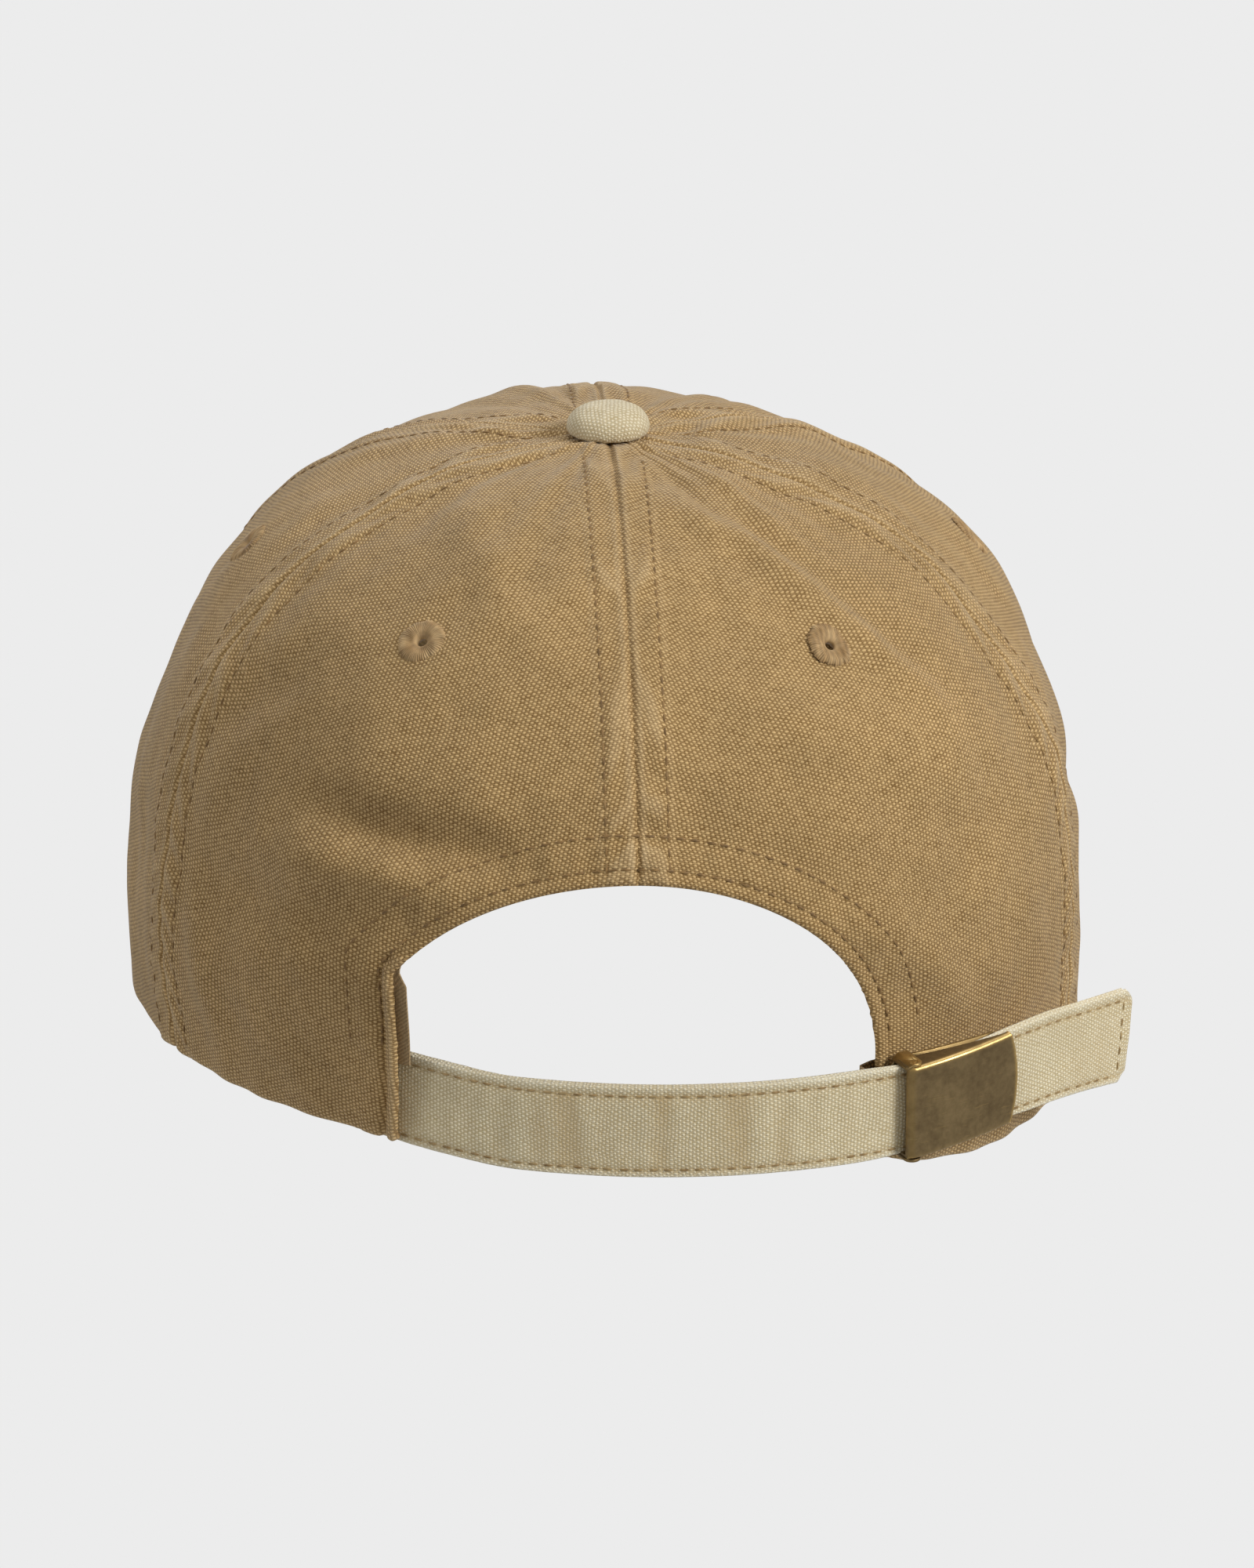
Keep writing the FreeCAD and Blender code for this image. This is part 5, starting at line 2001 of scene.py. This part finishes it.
        piece = grid_piece(f"strap_{name}_cloth", self.columns, rows, place, flat)
        number = np.arange(len(piece.data.vertices))
        degrees = self.run_degrees((number % (self.columns + 1)) / self.columns)
        height = unit[number // (self.columns + 1), 1] * self.half_width
        paint_attribute(piece, "worn", 0.75 * smooth_step(self.half_width - 1.4 * MM, self.half_width, np.abs(height)))
        # Painted shade in the ripple hollows and stitched rows, with faint staining.
        paint_attribute(piece, "stained", self.shade_and_stains(degrees, height))
        edit(piece, merge(), CLOSE_ENDS, FACE_OUT)
        smooth(piece)
        finish_piece(piece, STRAP_BODY, CREAM_CANVAS, f"strap_{name}_ply")

    def rows(self, side: int) -> list[Pair]:
        """The border's stitches: top row, bottom row, and one across the tail."""
        made = []
        degrees = np.linspace(self.arc.hidden_end - 0.5, self.arc.tail_end + 1.4, 900)
        for height in (self.half_width - self.top_row, -(self.half_width - self.low_row)):
            made.append(self.row_on(degrees, np.full(900, height), side))
        edge = np.full(60, self.arc.tail_end + 1.4)
        levels = np.linspace(self.half_width - self.top_row, -(self.half_width - self.low_row), 60)
        made.append(self.row_on(edge, levels, side))
        return made

    def row_on(self, degrees: Array, height: Array, side: int) -> Pair:
        """Points on one face of the strap and the directions out of it."""
        radius = self.middle_radius(degrees) + side * (self.ply + 0.02 * MM + self.relief(degrees, height))
        spots = self.arc.point(self.skew(degrees, height), radius, height + self.rise(degrees))
        return spots, side * self.arc.outward(degrees)


@dataclass
class Buckle:
    """Hinged clamp buckle: cover lever, and the cloth tab that ties its base to the cap."""

    arc: StrapArc
    pin_at: float = -23.6
    pin_ring: float = 92.8 * MM
    end_at: float = -35.4
    face_ring: float = 94.4 * MM
    half_height: float = 8.45 * MM
    sheet: float = 0.5 * MM
    corner: float = 0.75 * MM
    wrap: float = 1.3 * MM
    ear_at_pin: float = 4.4 * MM
    ear_at_end: float = 1.1 * MM
    end_bow: float = 1.5 * MM
    tilt: float = 1.9 * MM
    lift: float = 0.35 * MM
    base_ring: float = 88.5 * MM
    tab_half: float = 6.0 * MM
    tab_sheet: float = 0.4 * MM
    slot_at: float = -23.0
    foot_level: float = 4.0 * MM
    foot_lift: float = 0.75 * MM
    bar_end: float = -22.0
    tab_turn: float = -20.4

    def build(self) -> None:
        """Builds the lever and the tab."""
        self.lever()
        self.tab()
        self.hinge("buckle_base", "buckle_base_frame")
        self.hinge("buckle_pin", "buckle_hinge_pin")

    def hinge(self, node: str, name: str) -> None:
        """The base or the pin, its lower end drawn up close under the cover.

        Args:
            node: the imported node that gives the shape.
            name: the new piece's name.
        """
        deselect_all()
        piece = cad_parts[node].copy()
        piece.data = piece.data.copy()
        piece.name = piece.data.name = name
        piece.animation_data_clear()
        bpy.context.scene.collection.objects.link(piece)
        edit(piece, merge())
        places = vertex_array(piece)
        places[places[:, 2] < self.foot_level, 2] += self.foot_lift
        turn = np.degrees(np.arctan2(places[:, 0] - self.arc.centre_x, places[:, 1] - self.arc.centre_y))
        high = places[:, 2] > self.arc.middle + 7 * MM
        places[:, 2] -= high * 1.8 * MM * np.clip((turn + 23.3) / 1.2, 0, 1)
        set_vertices(piece, places)
        round_edges(piece, 0.08 * MM, 1, 50)
        smooth(piece, 40)
        # Bare brass along the frame's top and bottom edges.
        rubbed = np.clip(np.abs(vertex_array(piece)[:, 2] - self.arc.middle) / MM - 8.2, 0, 1) * 0.6
        paint_attribute(piece, "rubbed", rubbed)
        finish_piece(piece, CROWN_BODY, ANTIQUE_BRASS, node)

    def lever(self) -> None:
        """The cover plate, wrapped round the pin and folded down into two ears."""
        plate_run = math.radians(self.pin_at - self.end_at) * self.face_ring
        wrap_run = self.wrap * math.pi / 2
        total = plate_run + wrap_run
        rows, columns = 96, 84

        def section(upward: Array, drop: Array) -> tuple[Array, Array, Array]:
            """Depth under the face, height, and distance from the fold, for a share of the section."""
            straight = self.half_height - self.corner
            quarter = self.corner * math.pi / 2
            ear = np.maximum(drop - self.corner, 0.05 * MM)
            half_length = straight + quarter + ear
            where = (2 * upward - 1) * half_length
            away = np.abs(where)
            sign = np.sign(where)
            bend = np.clip((away - straight) / quarter, 0, 1) * math.pi / 2
            height = np.where(away < straight, away, straight + self.corner * np.sin(bend))
            depth = self.corner * (1 - np.cos(bend)) + np.maximum(0, away - straight - quarter)
            return depth, sign * height, np.abs(away - straight - quarter / 2)

        def run_spot(across: Array) -> Array:
            return crowd_ends(across, 0.55) * total

        def ear_drop(share: Array) -> Array:
            taper = np.clip((share - 0.12) / 0.8, 0, 1)
            return self.ear_at_pin + (self.ear_at_end - self.ear_at_pin) * taper

        def place(across: Array, upward: Array) -> Array:
            run = run_spot(across)
            on_plate = np.maximum(0, run - wrap_run)
            share = on_plate / plate_run
            depth, height, _ = section(upward, ear_drop(share))
            bow = self.end_bow * share ** 3 * (1 - (height / self.half_height) ** 2)
            inward = np.clip(1 - run / wrap_run, 0, 1) * math.pi / 2
            rim = self.face_ring - self.pin_ring
            flat_part = np.clip(1 - depth / self.corner, 0, 1)
            left = self.wrap * np.sin(inward)
            fall = rim * (1 - np.cos(inward)) * flat_part
            radius = self.face_ring - depth - fall
            degrees = self.pin_at - np.degrees((on_plate + bow - left) / self.face_ring)
            dish = 0.1 * MM * np.sin(math.pi * share) * flat_part
            return self.arc.point(degrees, radius + dish, height + self.lift + self.tilt * share)

        def flat(across: Array, upward: Array) -> Array:
            return np.stack([run_spot(across), upward * 2 * self.half_height], 1)

        piece = grid_piece("buckle_lever_plate", columns, rows, place, flat)
        number = np.arange(len(piece.data.vertices))
        across = (number % (columns + 1)) / columns
        upward = (number // (columns + 1)) / rows
        run = run_spot(across)
        fold = section(upward, ear_drop(np.maximum(0, run - wrap_run) / plate_run))[2]
        # Bare brass on the folds, the wrap and the end: partly wear, partly painted highlight that makes the upper fold
        # brighter than the lower.
        rubbed = (np.where(upward > 0.5, 0.75, 0.25) * bell(fold, 0.5 * MM)
                  + 0.3 * bell(run - 0.6 * wrap_run, 0.55 * MM) + 0.8 * bell(total - run, 0.35 * MM))
        paint_attribute(piece, "rubbed", np.clip(rubbed, 0, 1))
        heart = np.array([self.arc.centre_x, self.arc.centre_y, self.arc.middle])
        face_away_from(piece, heart)
        thicken(piece, self.sheet)
        round_edges(piece, 0.1 * MM, 2, 60)
        smooth(piece, 50)
        finish_piece(piece, LEVER_BODY, ANTIQUE_BRASS, "buckle_lever")

    def tab(self) -> None:
        """The cloth tab looped through the base's slot and sewn inside the opening's edge."""
        ring = self.base_ring
        loop = 0.3 * MM + self.tab_sheet / 2 + 0.05 * MM
        slot = self.slot_at - math.degrees(0.5 * MM / (ring - 0.3 * MM))
        path = ((slot - 1.2, ring - loop), (slot - 0.1, ring - loop), (slot, ring), (slot + 0.12, ring + loop),
                (self.bar_end + 0.25, ring + loop), (self.bar_end + 0.45, ring),
                (self.tab_turn, ring - 1.2 * MM), (self.tab_turn, ring - 4.6 * MM),
                (self.bar_end, ring - 5.6 * MM), (self.bar_end - 4.0, ring - 6.2 * MM))
        corners = self.arc.point(np.array([p[0] for p in path]), np.array([p[1] for p in path]), np.zeros(len(path)))
        line = resample(corners, 0.25 * MM)
        columns = len(line) - 1
        ahead = np.gradient(line, axis=0)
        ahead = unit_rows(ahead)
        side = np.stack([-ahead[:, 1], ahead[:, 0], np.zeros(len(line))], 1)

        def place(across: Array, upward: Array) -> Array:
            i = nearest(across * columns)
            spot = line[i] + side[i] * (self.tab_sheet / 2)
            spot[:, 2] += (2 * upward - 1) * self.tab_half
            return spot

        def flat(across: Array, upward: Array) -> Array:
            return np.stack([upward * 2 * self.tab_half, across * columns * 0.25 * MM], 1)

        piece = grid_piece("buckle_tab_cloth", columns, 24, place, flat)
        thicken(piece, self.tab_sheet)
        smooth(piece)
        finish_piece(piece, CROWN_BODY, TAN_CANVAS, "buckle_tab")


# ---- carried-over nodes, stage and camera -------------------------------------------------------


CARRIED = {
    "button_shell": STEEL, "button_shank": STEEL,
    "button_washer": STEEL, "visor_board": VISOR_PLASTIC,
}


def dress_carried() -> None:
    """Gives the CAD nodes that stay their materials."""
    for name, finish in CARRIED.items():
        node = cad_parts[name]
        node.data.materials.clear()
        node.data.materials.append(finish.material())
        LOG.info("%s: CAD node in %s", name, finish.name)


@dataclass
class Stage:
    """Pale floor far below, one broad key light from the right and soft fill."""

    floor_level: float = -0.62
    floor_size: float = 40.0
    pale: Colour = srgb(236, 236, 236)
    ambient: float = 0.4
    warm: Colour = (0.86, 0.82, 0.75)

    def build(self) -> None:
        """Makes the floor, the surrounding light and the lamps."""
        self.floor()
        self.surround()
        self.lamp("key", (-2.0, 1.35, 1.6), (0.8, 0.8), 55.0, (1.0, 0.985, 0.95))
        self.lamp("fill", (2.0, 0.5, 0.7), (1.4, 1.4), 9.0, (0.97, 0.985, 1.0))
        self.lamp("top", (-0.3, -0.5, 2.2), (1.4, 1.4), 14.0, (1.0, 1.0, 1.0))
        self.lamp("front", (0.5, -2.2, 0.7), (1.4, 1.4), 9.0, (1.0, 1.0, 1.0))
        bpy.context.scene.view_settings.view_transform = "Standard"

    def floor(self) -> None:
        """The floor, evenly pale to the camera and dull to everything else."""
        deselect_all()
        bpy.ops.mesh.primitive_plane_add(size=self.floor_size, location=(0, 0, self.floor_level))
        plane = bpy.context.object
        plane.name = "floor"
        made, bench, principled = blank_material("pale_floor")
        principled.inputs["Base Color"].default_value = (0.5, 0.5, 0.5, 1)
        glow = bench.node("ShaderNodeEmission", {"Color": (*self.pale, 1.0), "Strength": 1.0})
        seen = bench.node("ShaderNodeLightPath", {}).outputs["Is Camera Ray"]
        blend = bench.node("ShaderNodeMixShader", {0: seen, 1: principled.outputs[0], 2: glow.outputs[0]})
        output = next(node for node in made.node_tree.nodes if node.type == "OUTPUT_MATERIAL")
        bench.plug(output.inputs["Surface"], blend.outputs[0])
        plane.data.materials.append(made)

    def surround(self) -> None:
        """Even surrounding light, pale where the camera sees it."""
        world = bpy.data.worlds.new("studio")
        world.use_nodes = True
        bench = NodeBench(world.node_tree)
        background = next(node for node in world.node_tree.nodes if node.type == "BACKGROUND")
        seen = bench.node("ShaderNodeLightPath", {}).outputs["Is Camera Ray"]
        bench.plug(background.inputs["Color"], bench.mix(seen, self.warm, self.pale))
        bench.plug(background.inputs["Strength"], bench.fit(seen, 0.0, 1.0, self.ambient, 1.0))
        bpy.context.scene.world = world

    def lamp(self, name: str, place: Colour, size: tuple[float, float], power: float, colour: Colour) -> None:
        """An area lamp aimed at the cap.

        Args:
            name: the lamp's name.
            place: where it stands.
            size: its width and height.
            power: watts.
            colour: its tint.
        """
        light = bpy.data.lights.new(name, "AREA")
        light.shape = "RECTANGLE"
        light.size, light.size_y = size
        light.energy = power
        light.color = colour
        lamp = bpy.data.objects.new(name, light)
        lamp.location = place
        lamp.rotation_euler = (Vector((0, 0, 0.05)) - Vector(place)).to_track_quat("-Z", "Y").to_euler()
        bpy.context.scene.collection.objects.link(lamp)


@dataclass
class Viewpoint:
    """Camera behind the cap, a little above it."""

    target: Colour = (0.0, 0.0, 0.055)
    distance: float = 1.4
    elevation: float = 20.5
    swing: float = 3.168
    lens: float = 181.25
    sensor: float = 36.0
    aside: float = 0.002569
    below: float = 0.011366

    def build(self) -> None:
        """Places the camera and makes it the scene's."""
        swing, elevation = math.radians(self.swing), math.radians(self.elevation)
        back = Vector((math.sin(swing) * math.cos(elevation), math.cos(swing) * math.cos(elevation),
                       math.sin(elevation)))
        right = Vector((0, 0, 1)).cross(back).normalized()
        up = back.cross(right)
        aim = (-back + right * self.aside - up * self.below).normalized()
        camera = bpy.data.cameras.new("camera")
        camera.lens = self.lens
        camera.sensor_width = self.sensor
        holder = bpy.data.objects.new("camera", camera)
        holder.location = Vector(self.target) + back * self.distance
        holder.rotation_mode = "QUATERNION"
        holder.rotation_quaternion = aim.to_track_quat("-Z", "Y")
        bpy.context.scene.collection.objects.link(holder)
        bpy.context.scene.camera = holder


def main() -> None:
    """Builds the cap's sub-assemblies in order."""
    logging.basicConfig(level=logging.INFO, format="%(name)s: %(message)s")
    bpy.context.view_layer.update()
    Viewpoint().build()
    crown = SewnCrown()
    maker = StitchMaker()
    arc = StrapArc()
    CrownPanels(crown).build()
    Eyelets(crown).build()
    CrownStitching(crown, maker).build()
    InnerTapes(crown, maker).build()
    Sweatband(crown, maker).build()
    Button().build()
    Visor(crown, maker).build()
    Strap(arc, maker).build()
    Buckle(arc).build()
    dress_carried()
    Stage().build()


if __name__ == "__main__":
    main()
